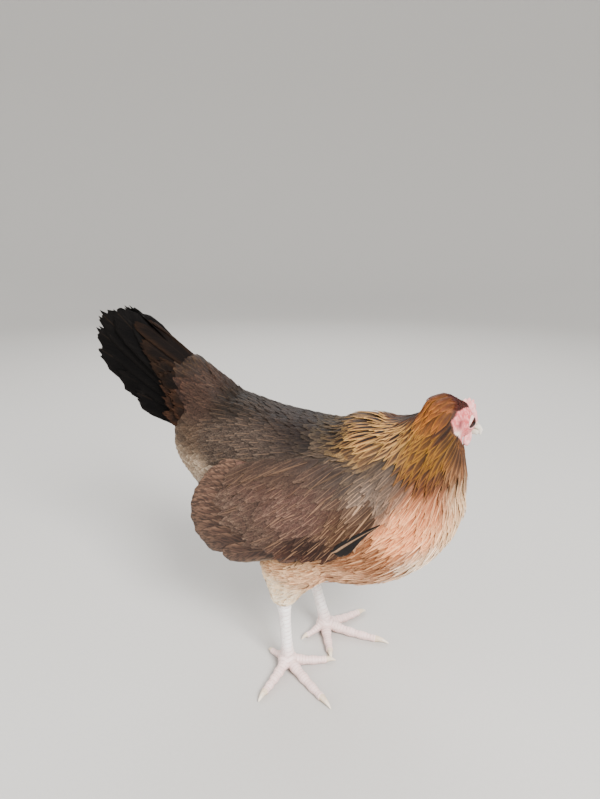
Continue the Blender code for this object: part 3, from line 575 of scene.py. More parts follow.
def plumage(points, wing=False):
    """The table's values at points of the body or of a wing, weighted by nearness."""
    rows = []
    for name, (x, z, reach_x, reach_z, *rest) in PLUMAGE.items():
        on_wing = name.startswith("wing")
        if on_wing if not wing else not (on_wing or name.startswith("shoulder")):
            continue
        values = [channel for code in rest[:3] for channel in linear(code)[:3]] + list(rest[3:])
        rows.append([x, z, reach_x, reach_z, *values])
    rows = np.array(rows)
    far = ((points[:, None, 0] * 1000 - rows[None, :, 0]) / rows[None, :, 2]) ** 2
    far += ((points[:, None, 2] * 1000 - rows[None, :, 1]) / rows[None, :, 3]) ** 2
    weight = np.exp(-PLUMAGE_SHARP * (far - far.min(1, keepdims=True)))
    weight /= weight.sum(1, keepdims=True)
    return weight @ rows[:, 4:]


def above_edge(points, raised=0.0):
    """1 on the neck above the lower edge of its long feathers, or above a line so much higher."""
    edge = np.array(HACKLE_EDGE)
    height = points[:, 2] - np.interp(points[:, 0], edge[:, 0], edge[:, 1]) - raised
    return ramp(height, -0.003, 0.003) * ramp(points[:, 0], 0.020 + raised, 0.026 + raised)


# Rear edge of the bare face in head coordinates: height and how far forward the edge is there
FACE_EDGE = ((-0.0160, 0.0040), (-0.0120, -0.0080), (-0.0090, -0.0185), (-0.0015, -0.0240),
             (0.0065, -0.0190), (0.0112, -0.0060), (0.0126, 0.0020), (0.0140, 0.0095))


def behind_face(spots):
    """How far points given in head coordinates lie behind the bare face's edge."""
    return np.interp(spots[:, 2], *zip(*FACE_EDGE)) - spots[:, 0]


def bare_share(points):
    """1 on the bare face."""
    spots = in_head_space(points)
    face = ramp(-behind_face(spots), -0.0007, 0.0007) * ramp(spots[:, 2], -0.0160, -0.0135)
    near = ramp(-np.linalg.norm(spots, axis=1), -0.0305, -0.0290) * (np.abs(spots[:, 1]) < 0.019)
    front = ramp(spots[:, 0], 0.0085, 0.0100) * ramp(spots[:, 2], -0.0125, -0.0105)
    return np.maximum(face, front) * near


def dress(obj, has_face=False, wing=False):
    """Stores on each point of a body what grows there: its lie, size, colours, marks and bareness."""
    mesh = obj.data
    points, normals = points_of(mesh), normals_of(mesh)
    values = plumage(points, wing)
    bare = bare_share(points) if has_face else np.zeros(len(points))
    down = np.radians(values[:, 15])
    lie = np.stack([-np.cos(down), 0 * down, -np.sin(down)], 1)
    # On the neck the feathers run away from the crown
    away = points - CROWN_AT
    away /= np.linalg.norm(away, axis=1, keepdims=True)
    away += (-0.25, 0, 0)
    neck = above_edge(points, -0.004)[:, None]
    lie = lie * (1 - neck) + away * neck
    # On the crown they run back from the comb
    spots = in_head_space(points)
    from_middle = np.linalg.norm(spots, axis=1)
    top = (ramp(-from_middle, -0.031, -0.021) * ramp(spots[:, 2], 0.001, 0.008))[:, None]
    lie = lie * (1 - top) + np.array(HEAD_AXES) @ np.array((-1.0, 0, -0.15)) * top
    # On the sides of the rear they spread away from the middle, and on the neck and breast too
    lie[:, 1] += np.sign(points[:, 1]) * 0.10 * ramp(np.abs(points[:, 1]), 0.0, 0.03)
    lie -= normals * (lie * normals).sum(1, keepdims=True)
    lie /= np.maximum(np.linalg.norm(lie, axis=1, keepdims=True), 1e-6)
    seen = plumage(points + lie * values[:, 12:13] / 1000 * FEATHER_SHOWS, wing)
    colours = seen[:, :9].reshape(-1, 3, 3)
    # Painted shade: beside the bare face the feathers take dark brown, the shadow along the hackle's edge
    face_shade_share = ramp(-behind_face(spots), -0.0060, -0.0020) * ramp(-spots[:, 0], 0.000, 0.010)
    face_shade_share = (face_shade_share * (from_middle < 0.038))[:, None]
    for share, codes in ((face_shade_share, PAINTED_SHADE_BY_FACE), (top, CROWN)):
        there = np.array([linear(code)[:3] for code in codes])
        colours = colours * (1 - share[:, None]) + there[None] * share[:, None]
    opaque = np.ones((len(points), 1))
    for i, name in enumerate(("plume", "rim", "dark")):
        put(mesh, name, "FLOAT_COLOR", np.hstack([colours[:, i], opaque]))
    put(mesh, "mark", "FLOAT_VECTOR", seen[:, 9:12] * (1 - top))
    put(mesh, "size", "FLOAT_VECTOR", values[:, 12:15] / 1000)
    put(mesh, "lie", "FLOAT_VECTOR", lie)
    put(mesh, "out", "FLOAT_VECTOR", normals)
    put(mesh, "bare", "FLOAT", bare)
    return points, bare, top[:, 0]


# The coat
def feather_template(name, shares, curl, fray, seed):
    """One small feather a unit long and a unit wide, lying flat: closed, its upper face in six strips."""
    draw = random.Random(seed)
    rows, columns = 9, 7
    points, along, across = [], [], []
    for i in range(rows):
        t = i / (rows - 1)
        width = np.interp(t, np.linspace(0, 1, len(shares)), shares)
        for j in range(columns):
            c = 2 * j / (columns - 1) - 1
            back = curl * c * c * t
            # The barbs' ends part, so the tip and edges are ragged
            rag = fray * ((-1) ** j * 0.7 + draw.uniform(-0.8, 0.8)) * t ** 3
            wide = 1 + fray * (1.2 * (-1) ** i + draw.uniform(-1.5, 1.5)) * t * abs(c) ** 3
            points.append((t - back + rag, 0.5 * c * width * wide, 0.0))
            along.append(t)
            across.append(c)
    faces = []
    for i in range(rows - 1):
        for j in range(columns - 1):
            a = i * columns + j
            faces.append((a, a + columns, a + columns + 1, a + 1))
        a = i * columns
        if i < rows - 2:
            faces.append((a, a + columns - 1, a + 2 * columns - 1, a + columns))
    faces.append(tuple(range(columns)))
    # Under the ragged tip, the faces fan out from one point, so that none shows between the barbs
    low = len(points)
    points.append((points[a + columns // 2 - columns][0], 0.0, 0.0))
    along.append((rows - 2) / (rows - 1))
    across.append(1.0)
    ring = [a, *range(a + columns, a + 2 * columns), a + columns - 1]
    faces += [(far, near, low) for near, far in zip(ring, ring[1:] + ring[:1])]
    mesh = bpy.data.meshes.new(name)
    mesh.from_pydata(points, [], faces)
    mesh.shade_smooth()
    keep_edge_crisp(mesh)
    put(mesh, "along", "FLOAT", along)
    put(mesh, "across", "FLOAT", across)
    return bpy.data.objects.new(name, mesh)


def keep_edge_crisp(mesh):
    """Upper and lower faces of a blade are shaded apart, so that its thin edge stays crisp."""
    upper = [len(face.vertices) == 4 and face.normal.z > 0 for face in mesh.polygons]
    sides = {}
    for face in mesh.polygons:
        for key in face.edge_keys:
            sides.setdefault(key, []).append(upper[face.index])
    for edge in mesh.edges:
        around = sides[edge.key]
        edge.use_edge_sharp = any(around) and not all(around)


def feather_set(name, outlines):
    """A collection of templates that the coat draws its feathers from."""
    group = bpy.data.collections.new(name)
    for i, (shares, curl, fray) in enumerate(outlines):
        group.objects.link(feather_template(name + "_" + str(i), shares, curl, fray, 31 + i))
    return group


# Node trees: the small functions that all of them share
TIMES, PLUS, MINUS, LARGER = ({"operation": word} for word in ("MULTIPLY", "ADD", "SUBTRACT", "MAXIMUM"))
MINUS_NOT_BELOW_0 = {"operation": "SUBTRACT", "use_clamp": True}
SMOOTH = {"interpolation_type": "SMOOTHSTEP"}
COLOURS = {"data_type": "RGBA"}
SHADED = {"data_type": "RGBA", "blend_type": "MULTIPLY"}
VECTORS = {"data_type": "FLOAT_VECTOR"}
FLOATS = {"data_type": "FLOAT"}


def feed(tree, node, inputs):
    """Feeds a node's inputs, given by name or in their order, from other nodes or with constants."""
    for key, value in inputs.items() if isinstance(inputs, dict) else enumerate(inputs):
        socket = node.inputs[key] if isinstance(key, int) else next(
            one for one in node.inputs if one.name == key and one.enabled)
        if isinstance(value, bpy.types.Node):
            value = next(one for one in value.outputs if one.enabled)
        if isinstance(value, bpy.types.NodeSocket):
            tree.links.new(value, socket)
        else:
            socket.default_value = value


def add(tree, kind, settings=None, inputs=()):
    """Adds a node with its settings and what feeds it. A shader node's kind comes without its prefix."""
    made = tree.nodes.new("ShaderNode" + kind if "Node" not in kind else kind)
    for name, value in (settings or {}).items():
        setattr(made, name, value)
    feed(tree, made, inputs)
    return made


def coat_tree():
    """Feathers from a set of templates, spread over a skin and laid close along its surface."""
    tree = bpy.data.node_groups.new("coat", "GeometryNodeTree")
    tree.is_modifier = True
    node = partial(add, tree)
    for name, kind in (("Geometry", "Geometry"), ("Templates", "Collection"), ("Finish", "Material"),
                       ("Where", "String"), ("Spacing", "Float"), ("Length", "Float"), ("Width", "Float"),
                       ("Lift", "Float"), ("Raise", "Float"), ("Jitter", "Float"), ("Seed", "Int")):
        tree.interface.new_socket(name=name, in_out="INPUT", socket_type="NodeSocket" + kind)
    tree.interface.new_socket(name="Geometry", in_out="OUTPUT", socket_type="NodeSocketGeometry")
    given = node("NodeGroupInput").outputs
    read = {name: node("GeometryNodeInputNamedAttribute", kind, {"Name": name}) for name, kind in (
        ("out", VECTORS), ("lie", VECTORS), ("size", VECTORS), ("OFBake", VECTORS),
        ("along", FLOATS), ("across", FLOATS), ("luck", FLOATS))}
    luck, swing, varied = (
        node("FunctionNodeRandomValue", FLOATS, {
            "Min": low, "Max": high, "Seed": node("Math", PLUS, (given["Seed"], number))})
        for number, low, high in ((1, 0.0, 1.0), (2, -1.0, 1.0), (3, 1 - SIZE_VARIES, 1 + SIZE_VARIES)))
    spread = node("GeometryNodeDistributePointsOnFaces", {"distribute_method": "POISSON"}, {
        "Mesh": given["Geometry"], "Distance Min": given["Spacing"], "Density Max": DENSEST,
        "Density Factor": node("GeometryNodeInputNamedAttribute", FLOATS, {"Name": given["Where"]}),
        "Seed": given["Seed"]})
    lucky = node("GeometryNodeStoreNamedAttribute", {"data_type": "FLOAT", "domain": "POINT"}, {
        "Geometry": spread, "Name": "luck", "Value": luck})
    # Each feather stands on the skin, lies along its place's lie, and swings a little to one side
    upright = node("FunctionNodeAlignRotationToVector", {"axis": "Z"}, {"Vector": read["out"]})
    laid = node("FunctionNodeAlignRotationToVector", {"axis": "X", "pivot_axis": "Z"}, {
        "Rotation": upright, "Vector": read["lie"]})
    swung = node("CombineXYZ", None, {"Z": node("Math", TIMES, (swing, given["Jitter"]))})
    turned = node("FunctionNodeRotateRotation", {"rotation_space": "LOCAL"}, {
        "Rotation": laid, "Rotate By": node("FunctionNodeEulerToRotation", None, (swung,))})
    size = node("SeparateXYZ", None, (read["size"],)).outputs
    length, width = (
        node("Math", TIMES, (node("Math", TIMES, (size[axis], given[name])), varied))
        for axis, name in (("X", "Length"), ("Y", "Width")))
    templates = node("GeometryNodeCollectionInfo", None, {
        "Collection": given["Templates"], "Separate Children": True, "Reset Children": True})
    placed = node("GeometryNodeInstanceOnPoints", None, {
        "Points": lucky, "Instance": templates, "Pick Instance": True,
        "Instance Index": node("FunctionNodeRandomValue", {"data_type": "INT"}, {
            "Min": 0, "Max": 20, "Seed": given["Seed"]}),
        "Rotation": turned, "Scale": node("CombineXYZ", None, (length, width, length))})
    real = node("GeometryNodeRealizeInstances", None, (placed,))
    # Each point goes to the nearest place on the skin, and up from it along the feather
    ground, out = (
        node("GeometryNodeSampleNearestSurface", VECTORS, {"Mesh": given["Geometry"], "Value": value})
        for value in (node("GeometryNodeInputPosition"), read["out"]))
    lift = node("Math", TIMES, (size["Z"], given["Lift"]))
    rise = node("Math", PLUS, (node("Math", TIMES, (lift, read["along"])), given["Raise"]))
    rise = node("Math", PLUS, (rise, node("Math", TIMES, (read["luck"], LUCKY_RISE))))
    edge = node("Math", TIMES, (
        node("Math", TIMES, (read["across"], read["across"])),
        node("Math", TIMES, (size["Y"], EDGE_DROP))))
    lifted = node("VectorMath", {"operation": "SCALE"}, {
        0: out, "Scale": node("Math", MINUS, (rise, edge))})
    moved = node("GeometryNodeSetPosition", None, {
        "Geometry": real, "Position": node("VectorMath", PLUS, (ground, lifted))})
    # The map that bakes it: a small patch for each feather, where its root stands on the skin's own map
    patch = node("CombineXYZ", None, (
        node("Math", TIMES, (read["across"], PATCH / 2)),
        node("Math", TIMES, (node("Math", MINUS, (read["along"], 0.5)), PATCH))))
    mapped = node("GeometryNodeStoreNamedAttribute", {"data_type": "FLOAT2", "domain": "CORNER"}, {
        "Geometry": moved, "Name": "OFBake", "Value": node("VectorMath", PLUS, (read["OFBake"], patch))})
    finished = node("GeometryNodeSetMaterial", None, {"Geometry": mapped, "Material": given["Finish"]})
    node("NodeGroupOutput", None, (finished,))
    return tree


def grow(name, skin, tree, **given):
    """A coat piece as a plain mesh. given are the tree's inputs by name."""
    host = in_scene(name + "_host", skin.data)
    step = host.modifiers.new("coat", "NODES")
    step.node_group = tree
    names = {item.name: item.identifier for item in tree.interface.items_tree if item.in_out == "INPUT"}
    for key, value in given.items():
        step[names[key]] = value
    graph = bpy.context.evaluated_depsgraph_get()
    mesh = bpy.data.meshes.new_from_object(host.evaluated_get(graph))
    host.modifiers.clear()
    bpy.data.objects.remove(host)
    # The finishes don't read what only the tree needed
    for spent in ("lie", "out", "size", "bare"):
        if spent in mesh.attributes:
            mesh.attributes.remove(mesh.attributes[spent])
    return in_scene(name, mesh)


# Long feathers of the wings and tail
def blade_piece(name, blades, finish):
    """Long feathers as one piece. Each blade gives its rows of points and its colours and marks.

    A blade is (upper points as an array of rows by columns, lower points alike, colours, marks).
    """
    points, faces, uvs, values = [], [], [], []
    # Each blade's luck is drawn from the piece's name
    draw = random.Random(name)
    cells = math.ceil(math.sqrt(len(blades)))
    for number, (upper, lower, colours, marks, *part) in enumerate(blades):
        # Which part of a feather's width and length shows, if not all of it
        (left_edge, right_edge), length = part or ((-1.0, 1.0), 1.0)
        rows, columns = upper.shape[:2]
        start = len(points)
        luck = draw.random()
        corner = np.array((number % cells, number // cells)) / cells
        for sheet in (upper, lower):
            for i in range(rows):
                for j in range(columns):
                    t, c = i / (rows - 1), j / (columns - 1)
                    points.append(sheet[i, j])
                    across = left_edge + (right_edge - left_edge) * c
                    values.append((t * length, across, luck, *colours, *marks))
                    uvs.append(corner + np.array((0.1 + 0.8 * c, 0.1 + 0.8 * t)) / cells)
        under = start + rows * columns
        for i in range(rows - 1):
            for j in range(columns - 1):
                a, b = start + i * columns + j, under + i * columns + j
                faces.append((a, a + 1, a + columns + 1, a + columns))
                faces.append((b, b + columns, b + columns + 1, b + 1))
            for j, turned in ((0, False), (columns - 1, True)):
                a, b = start + i * columns + j, under + i * columns + j
                side = (a, a + columns, b + columns, b)
                faces.append(side[::-1] if turned else side)
        for i, turned in ((0, True), (rows - 1, False)):
            for j in range(columns - 1):
                a, b = start + i * columns + j, under + i * columns + j
                end = (a, a + 1, b + 1, b)
                faces.append(end if turned else end[::-1])
    obj = new_piece(name, points, faces)
    mesh = obj.data
    values = np.array(values)
    for i, attribute in enumerate(("along", "across", "luck")):
        put(mesh, attribute, "FLOAT", values[:, i])
    opaque = np.ones((len(points), 1))
    for i, attribute in enumerate(("plume", "rim", "dark")):
        put(mesh, attribute, "FLOAT_COLOR", np.hstack([values[:, 3 + 3 * i:6 + 3 * i], opaque]))
    put(mesh, "mark", "FLOAT_VECTOR", values[:, 12:15])
    loops = np.empty(len(mesh.loops), dtype=int)
    mesh.loops.foreach_get("vertex_index", loops)
    layer = mesh.uv_layers.new(name="OFBake")
    layer.data.foreach_set("uv", np.array(uvs, dtype=np.float32)[loops].ravel())
    mesh.materials.append(finish)
    return obj


def sheets_of(rows, columns, places):
    """A blade's upper and lower points, by a function of the share along it and of -1 to 1 across it."""
    sheets = np.empty((2, rows, columns, 3))
    for i in range(rows):
        for j in range(columns):
            sheets[:, i, j] = places(i / (rows - 1), 2 * j / (columns - 1) - 1)
    return sheets


def three_colours(*codes):
    """A feather's own, edge and dark colours in one list."""
    return [channel for code in codes for channel in linear(code)[:3]]


# Each tier of a wing: how many feathers, width, how far out they lie, how far the middle tips stick out
# behind, roots and tips of the lowest and highest one seen from the side, colours, and marks
WING_TIERS = [
    (3, 0.016, -0.0026, 0.000, ((0.046, 0.141), (0.034, 0.150)), ((-0.050, 0.110), (-0.074, 0.122)),
     ("3A2B25", "8A7460", "1E1613"), (0.2, 0.1, 0.2)),
    (14, 0.019, 0.0000, 0.027, ((0.032, 0.140), (0.000, 0.192)), ((-0.056, 0.112), (-0.060, 0.185)),
     ("4A3329", "6A4F3E", "261A15"), (0.12, 0.1, 0.9)),
    (10, 0.020, 0.0016, 0.013, ((0.050, 0.147), (0.016, 0.196)), ((-0.006, 0.127), (-0.040, 0.192)),
     ("503830", "6E5042", "291D18"), (0.15, 0.1, 0.8)),
]
# How much of its full width a blade has at each share of its length
WING_BLADE = ((0, 0.12, 0.45, 0.75, 0.9, 1), (0.3, 0.7, 1, 1, 0.96, 0.74))
TAIL_BLADE = ((0, 0.2, 0.5, 0.8, 0.93, 1), (0.35, 0.72, 0.95, 1, 0.88, 0.55))
WING_ROLL = math.radians(5.5)
# No long feather of the wing reaches above this height
WING_TOP = 0.1990
# Where the wing's small coverts have their roots, seen from the side
WING_COVER = [
    (0.072, 0.172), (0.068, 0.190), (0.046, 0.206), (0.010, 0.207), (-0.028, 0.201), (-0.036, 0.178),
    (-0.026, 0.158), (-0.002, 0.145), (0.030, 0.143), (0.056, 0.151),
]
WING_COVER_OUT = 0.0026
FLIGHT_EDGE_OUT = 0.0062


def wing_host(sign):
    """A smooth sheet over the wing's long feathers, for its coverts to lie on. It isn't kept."""
    xs, zs = np.arange(-0.110, 0.101, 0.003), np.arange(0.090, 0.226, 0.003)
    points = [wing_point(x, z, WING_COVER_OUT, sign) for z in zs for x in xs]
    wide = len(xs)
    faces = []
    for i in range(len(zs) - 1):
        for j in range(wide - 1):
            a = i * wide + j
            face = (a, a + 1, a + wide + 1, a + wide)
            faces.append(face if sign < 0 else face[::-1])
    host = new_piece("wing_host", points, faces, closed=False)
    points, _, _ = dress(host, wing=True)
    inside = inside_outline(points[:, 0], points[:, 2], WING_COVER)
    put(host.data, "grow", "FLOAT", inside.astype(float))
    box_map(host.data)
    return host


def wing_blade(root, tip, width, tier_out, sign, draw):
    """A long feather of a wing, laid over the wing's surface from its root to its tip in the side view."""
    along = (tip - root).normalized()
    side = Vector((-along.y, along.x))

    def places(t, c):
        half = width / 2 * float(np.interp(t, *WING_BLADE))
        rag = draw.uniform(-0.0004, 0.0004) * t ** 4 - 0.0034 * c * c * t ** 6
        spot = root.lerp(tip, t) + along * rag
        spot += side * half * c * (1 + draw.uniform(-0.03, 0.03) * abs(c) * t)
        spot.y = min(spot.y + 0.005 * math.sin(math.pi * t), WING_TOP)
        out = tier_out - 0.0010 * t
        if t < 0.18:
            out = core_out(spot.x) - 0.0022 + (out - core_out(spot.x) + 0.0022) * t / 0.18
        # The upper edge of each lies under the next one above it
        out -= c * half * math.sin(WING_ROLL) - 0.0006 * (1 - c * c)
        shaft = 0.0004 * math.exp(-(c / 0.10) ** 2) * (1 - t)
        return [wing_point(spot.x, spot.y, height, sign) for height in (out + WING_THICK + shaft, out)]

    return sheets_of(22, 11, places)


def wing_blades(sign):
    """The three tiers of a wing's long feathers, and its outermost flight feather."""
    draw = random.Random(5)
    blades = []
    for count, width, tier_out, bulge, roots, tips, codes, marks in WING_TIERS:
        for number in range(count):
            share = number / (count - 1)
            root, tip = (Vector(low).lerp(Vector(high), share) for low, high in (roots, tips))
            tip.x -= bulge * math.sin(math.pi * share ** 0.75) ** 0.6 + draw.uniform(-0.001, 0.001)
            blades.append((*wing_blade(root, tip, width, tier_out, sign, draw), three_colours(*codes), marks))
    blades.append(flight_edge(sign))
    return blades


FLIGHT_EDGE_CODES = ("15100F", "1E1816", "15100F")
FLIGHT_EDGE_MARKS = (3.0, 0.0, 0.0)
# Only the middle of its width shows, and so much of its length
FLIGHT_EDGE_ACROSS = (-0.32, 0.32)
FLIGHT_EDGE_LENGTH = 0.80
# The part of the outermost flight feather that shows: forward and up of its upper edge, shaft and lower edge
FLIGHT_EDGE = [
    ((0.0760, 0.1695), (0.0762, 0.1692), (0.0762, 0.1688)),
    ((0.0660, 0.1642), (0.0664, 0.1626), (0.0672, 0.1606)),
    ((0.0570, 0.1588), (0.0578, 0.1562), (0.0612, 0.1528)),
    ((0.0488, 0.1528), (0.0500, 0.1500), (0.0556, 0.1448)),
    ((0.0430, 0.1468), (0.0450, 0.1450), (0.0490, 0.1404)),
    ((0.0385, 0.1410), (0.0392, 0.1406), (0.0405, 0.1398)),
]


def flight_edge(sign):
    """The outermost flight feather: its black blade and white shaft show below the coverts."""
    flat = [sum(row, ()) for row in FLIGHT_EDGE]

    def places(t, c):
        values = blend(flat, t)
        edge, shaft, low = (Vector(values[n:n + 2]) for n in (0, 2, 4))
        spot = shaft.lerp(edge if c < 0 else low, abs(c))
        out = FLIGHT_EDGE_OUT * math.sin(math.pi * min(1.0, 0.12 + 0.80 * t)) ** 0.5 - 0.0012 * c * c
        return [wing_point(spot.x, spot.y, height, sign) for height in (out + 0.0005, out)]

    return (*sheets_of(26, 13, places), three_colours(*FLIGHT_EDGE_CODES), FLIGHT_EDGE_MARKS,
            FLIGHT_EDGE_ACROSS, FLIGHT_EDGE_LENGTH)


# The tail's feathers and coverts of one side, from the top one down: length, rise in degrees and how
# far the tip leans out
TAIL_FEATHERS = [
    (0.112, 45.0, -0.0040), (0.130, 42.0, -0.0030), (0.140, 38.5, -0.0010), (0.137, 33.5, 0.0015),
    (0.127, 29.0, 0.0040), (0.104, 26.0, 0.0055), (0.084, 22.0, 0.0065),
]
TAIL_COVERTS = [
    (0.095, 37.5, -0.0030), (0.084, 36.0, 0.0000), (0.068, 34.0, 0.0020), (0.056, 31.0, 0.0030),
    (0.050, 26.0, 0.0035), (0.048, 19.0, 0.0035),
]


# Widths of its feathers and coverts, and how far each one's root lies below the one above it
TAIL_WIDTH, TAIL_APART = 0.027, 0.0031
COVERT_WIDTH, COVERT_APART = 0.018, 0.0075
# How far out their roots lie and how flat they lie in degrees, from the top one down
TAIL_OUT = (0.0065, 0.0105)
TAIL_TILT = (58, 32, 10)
COVERT_OUT = (0.0068, 0.0115, 0.0134, 0.0130)
# Length of the short coverts between the long ones, as a share of theirs
SHORT_COVERT = 0.82
TAIL_BLACK = ("060505", "0D0B0A", "030303")
COVERT_DARK = ("120D0B", "23170F", "080605")
COVERT_BROWN = ("1D1410", "352217", "0D0907")


def tail_blade(root, rise, length, width, lean, sign, tilt, droop, fray, draw, codes, marks):
    """A tail feather that rises backward at an angle in degrees, its flat side tilted up from the side."""
    up = Vector((0.0, sign * math.cos(tilt), math.sin(tilt)))

    def places(t, c):
        angle = math.radians(rise - droop * t)
        along = Vector((-math.cos(angle), 0, math.sin(angle)))
        side = along.cross(up).normalized()
        face = side.cross(along)
        half = width / 2 * float(np.interp(t, *TAIL_BLADE))
        rag = fray * draw.uniform(-1, 1) * t ** 6 - 0.006 * c * c * t ** 6
        spot = root + along * (length * t + rag) + Vector((0, sign * lean * t * t, 0))
        spot += side * half * c * (1 + draw.uniform(-0.035, 0.035) * abs(c) * t)
        spot += face * (0.0010 * (1 - c * c))
        shaft = 0.0005 * math.exp(-(c / 0.09) ** 2) * (1 - t)
        return spot + face * (TAIL_THICK / 2 + shaft), spot - face * (TAIL_THICK / 2)

    return (*sheets_of(26, 13, places), three_colours(*codes), marks)


def tail_blades():
    """The tail's long feathers and the coverts over their roots, on both sides."""
    draw = random.Random(9)
    blades = []
    for sign in (-1, 1):
        for i, (length, rise, lean) in enumerate(TAIL_FEATHERS):
            out = 0.0130 - 0.0013 * i if i > 1 else TAIL_OUT[i]
            tilt = math.radians(TAIL_TILT[min(i, 2)])
            root = TAIL_ROOT + Vector((0.0, sign * out, -TAIL_APART * i))
            blades.append(tail_blade(root, rise, length, TAIL_WIDTH, lean, sign, tilt, 0.0, 0.0035, draw,
                                     TAIL_BLACK, (0.03, 0.1, 0.1)))
        for i, (length, rise, lean) in enumerate(TAIL_COVERTS):
            # A shorter row fills the gaps between the long coverts
            for short in (0.0, 0.42):
                if short and i == len(TAIL_COVERTS) - 1:
                    continue
                place = i + short
                out = float(np.interp(place, (0, 1, 2, 5), COVERT_OUT)) + 0.0010 * (short > 0)
                tilt = math.radians(float(np.interp(place, (0, 1, 2), TAIL_TILT)))
                root = COVERT_ROOT + Vector((0.0, sign * out, -COVERT_APART * place))
                reach = length * (SHORT_COVERT if short else 1.0) * draw.uniform(0.97, 1.03)
                codes = COVERT_DARK if i < 3 else COVERT_BROWN
                blades.append(tail_blade(root, rise - 1.5 * (short > 0), reach, COVERT_WIDTH, lean, sign,
                                         tilt, 4.0, 0.0030, draw, codes, (0.04, 0.1, 0.4)))
    return blades


# The face's hard and fleshy parts
# Beak: forward from the middle of the head, height above, depth below and half width
BILL_UPPER = [
    (0.0125, 0.0064, 0.0010, 0.0062), (0.0185, 0.0056, 0.0014, 0.0050), (0.0240, 0.0044, 0.0022, 0.0040),
    (0.0300, 0.0024, 0.0034, 0.0028), (0.0345, -0.0006, 0.0050, 0.0013),
]
BILL_LOWER = [
    (0.0125, 0.0, 0.0048, 0.0052), (0.0190, -0.0002, 0.0044, 0.0040), (0.0250, -0.0008, 0.0042, 0.0029),
    (0.0300, -0.0018, 0.0040, 0.0016),
]
BILL_LOWER_DROP = -0.0016
# The horny flap over a nostril: forward, up, and half width both ways
NOSTRIL_FLAP = (0.0195, 0.0040, 0.0026, 0.0011)
# Wattle from top to bottom: share of its length, half its depth fore and aft, half its thickness
WATTLE = [(-0.15, 0.0024, 0.0012), (0.0, 0.0032, 0.0013), (0.3, 0.0041, 0.0016),
          (0.65, 0.0041, 0.0017), (0.9, 0.0026, 0.0013), (1.0, 0.0010, 0.0006)]
# Where the left wattle begins, and its way down from there
WATTLE_AT, WATTLE_WAY = (0.0135, 0.0048, -0.0062), (-0.001, 0.0012, -0.0095)
# Comb: how many points it has, how far ahead of the head's middle it begins, and its length
COMB_POINTS, COMB_FROM, COMB_LONG = 5, 0.0005, 0.023
# Middle of the left ear lobe and its three radii: along the head, across it and up
EARLOBE_AT = (-0.0100, 0.0122, -0.0072)
EARLOBE_RADII = (0.0040, 0.0018, 0.0056)


def make_bill():
    points, faces = head_loft(BILL_UPPER, 60, 56)
    spots = in_head_space(points)
    x, y, z = spots.T
    # The nostrils are slits under a low horny flap
    slit = np.exp(-((x - 0.0200) / 0.0017) ** 4 - ((z - 0.0026 + 0.15 * (x - 0.0200)) / 0.00062) ** 2)
    flap = soft_spot(x, z, NOSTRIL_FLAP)
    on_side = np.abs(y) > 0.0015
    slit, flap = slit * on_side, flap * on_side
    spots[:, 1] += np.sign(y) * (0.00035 * flap - 0.0013 * slit)
    upper = new_piece("bill_upper", from_head_space(spots), faces)
    lower = new_piece("bill_lower", *head_loft(BILL_LOWER, 44, 48, drop=BILL_LOWER_DROP))
    # Painted shade: the slits are also coloured dark, the shade inside them
    for obj, hollow in ((upper, slit), (lower, np.zeros(len(lower.data.vertices)))):
        put(obj.data, "hollow", "FLOAT", hollow)
        put(obj.data, "reach", "FLOAT", ramp(in_head_space(points_of(obj.data))[:, 0], 0.0125, 0.0345))
    return upper, lower


def make_comb():
    """A small single comb with five points, a thin fleshy blade along the top of the forehead."""
    draw = random.Random(3)
    steps, around = 90, 28
    rings = []
    for i in range(steps):
        t = i / (steps - 1)
        x = COMB_FROM + COMB_LONG * t
        crest = 0.0172 + 0.0042 * math.sin(math.pi * t) - 0.0075 * t
        tooth = abs(math.sin(math.pi * (COMB_POINTS * t))) ** 0.8
        top = crest - 0.0016 + 0.0034 * tooth * (0.35 + 0.65 * math.sin(math.pi * min(1, t * 1.05)))
        low = 0.0095 - 0.0080 * t * t
        ring = []
        for j in range(around):
            turn = 2 * math.pi * j / around
            height = 0.5 - 0.5 * math.cos(turn)
            thick = (0.0019 * (1 - height) ** 0.8 + 0.00075) * abs(math.sin(turn)) ** 0.55
            lump = 1 + 0.10 * math.sin(23 * t + 9 * height) + 0.05 * draw.uniform(-1, 1)
            bend = 0.0004 * math.sin(9 * t) * height
            ring.append(in_head(x, math.copysign(thick, math.sin(turn)) * lump + bend,
                                low + (top - low) * height))
        rings.append(ring)
    return new_piece("comb_flesh", *shell(rings))


def make_wattle(side):
    sides, sign = 32, SIDES[side]
    rings = []
    for i in range(30):
        share, deep, across = blend(WATTLE, i / 29)
        x, y, z = (at + way * share for at, way in zip(WATTLE_AT, WATTLE_WAY))
        middle = in_head(x, sign * y, z)
        ring = oval_ring(middle, AHEAD, LEFT, deep, across, across, sides)
        # Five soft folds turn slowly down its length
        fold = 0.00022 * np.sin(np.arange(sides) * 2 * math.pi / sides * 5 + i * 0.25)
        rings.append(ring + fold[:, None] * np.array(LEFT)[None])
    return new_piece("wattle_flesh_" + side, *shell(rings))


def ball_form(middle, radii, turned, rings=24, sides=32):
    """A closed egg with three radii along turned axes."""
    rows = []
    for i in range(rings):
        rise = math.pi * (i + 0.5) / rings - math.pi / 2
        rows.append([middle + turned @ Vector((radii[0] * math.cos(rise) * math.cos(2 * math.pi * j / sides),
                                               radii[1] * math.cos(rise) * math.sin(2 * math.pi * j / sides),
                                               radii[2] * math.sin(rise))) for j in range(sides)])
    return shell(rows)


def make_earlobe(side):
    sign = SIDES[side]
    x, y, z = EARLOBE_AT
    turned = HEAD_AXES @ Matrix.Rotation(math.radians(-20), 3, "Y")
    points, faces = ball_form(in_head(x, sign * y, z), EARLOBE_RADII, turned)
    spots = in_head_space(points)
    spots[:, 1] += sign * 0.00018 * np.sin(spots[:, 2] * 5200 + 900 * spots[:, 0])
    return new_piece("earlobe_flesh_" + side, from_head_space(spots), faces)


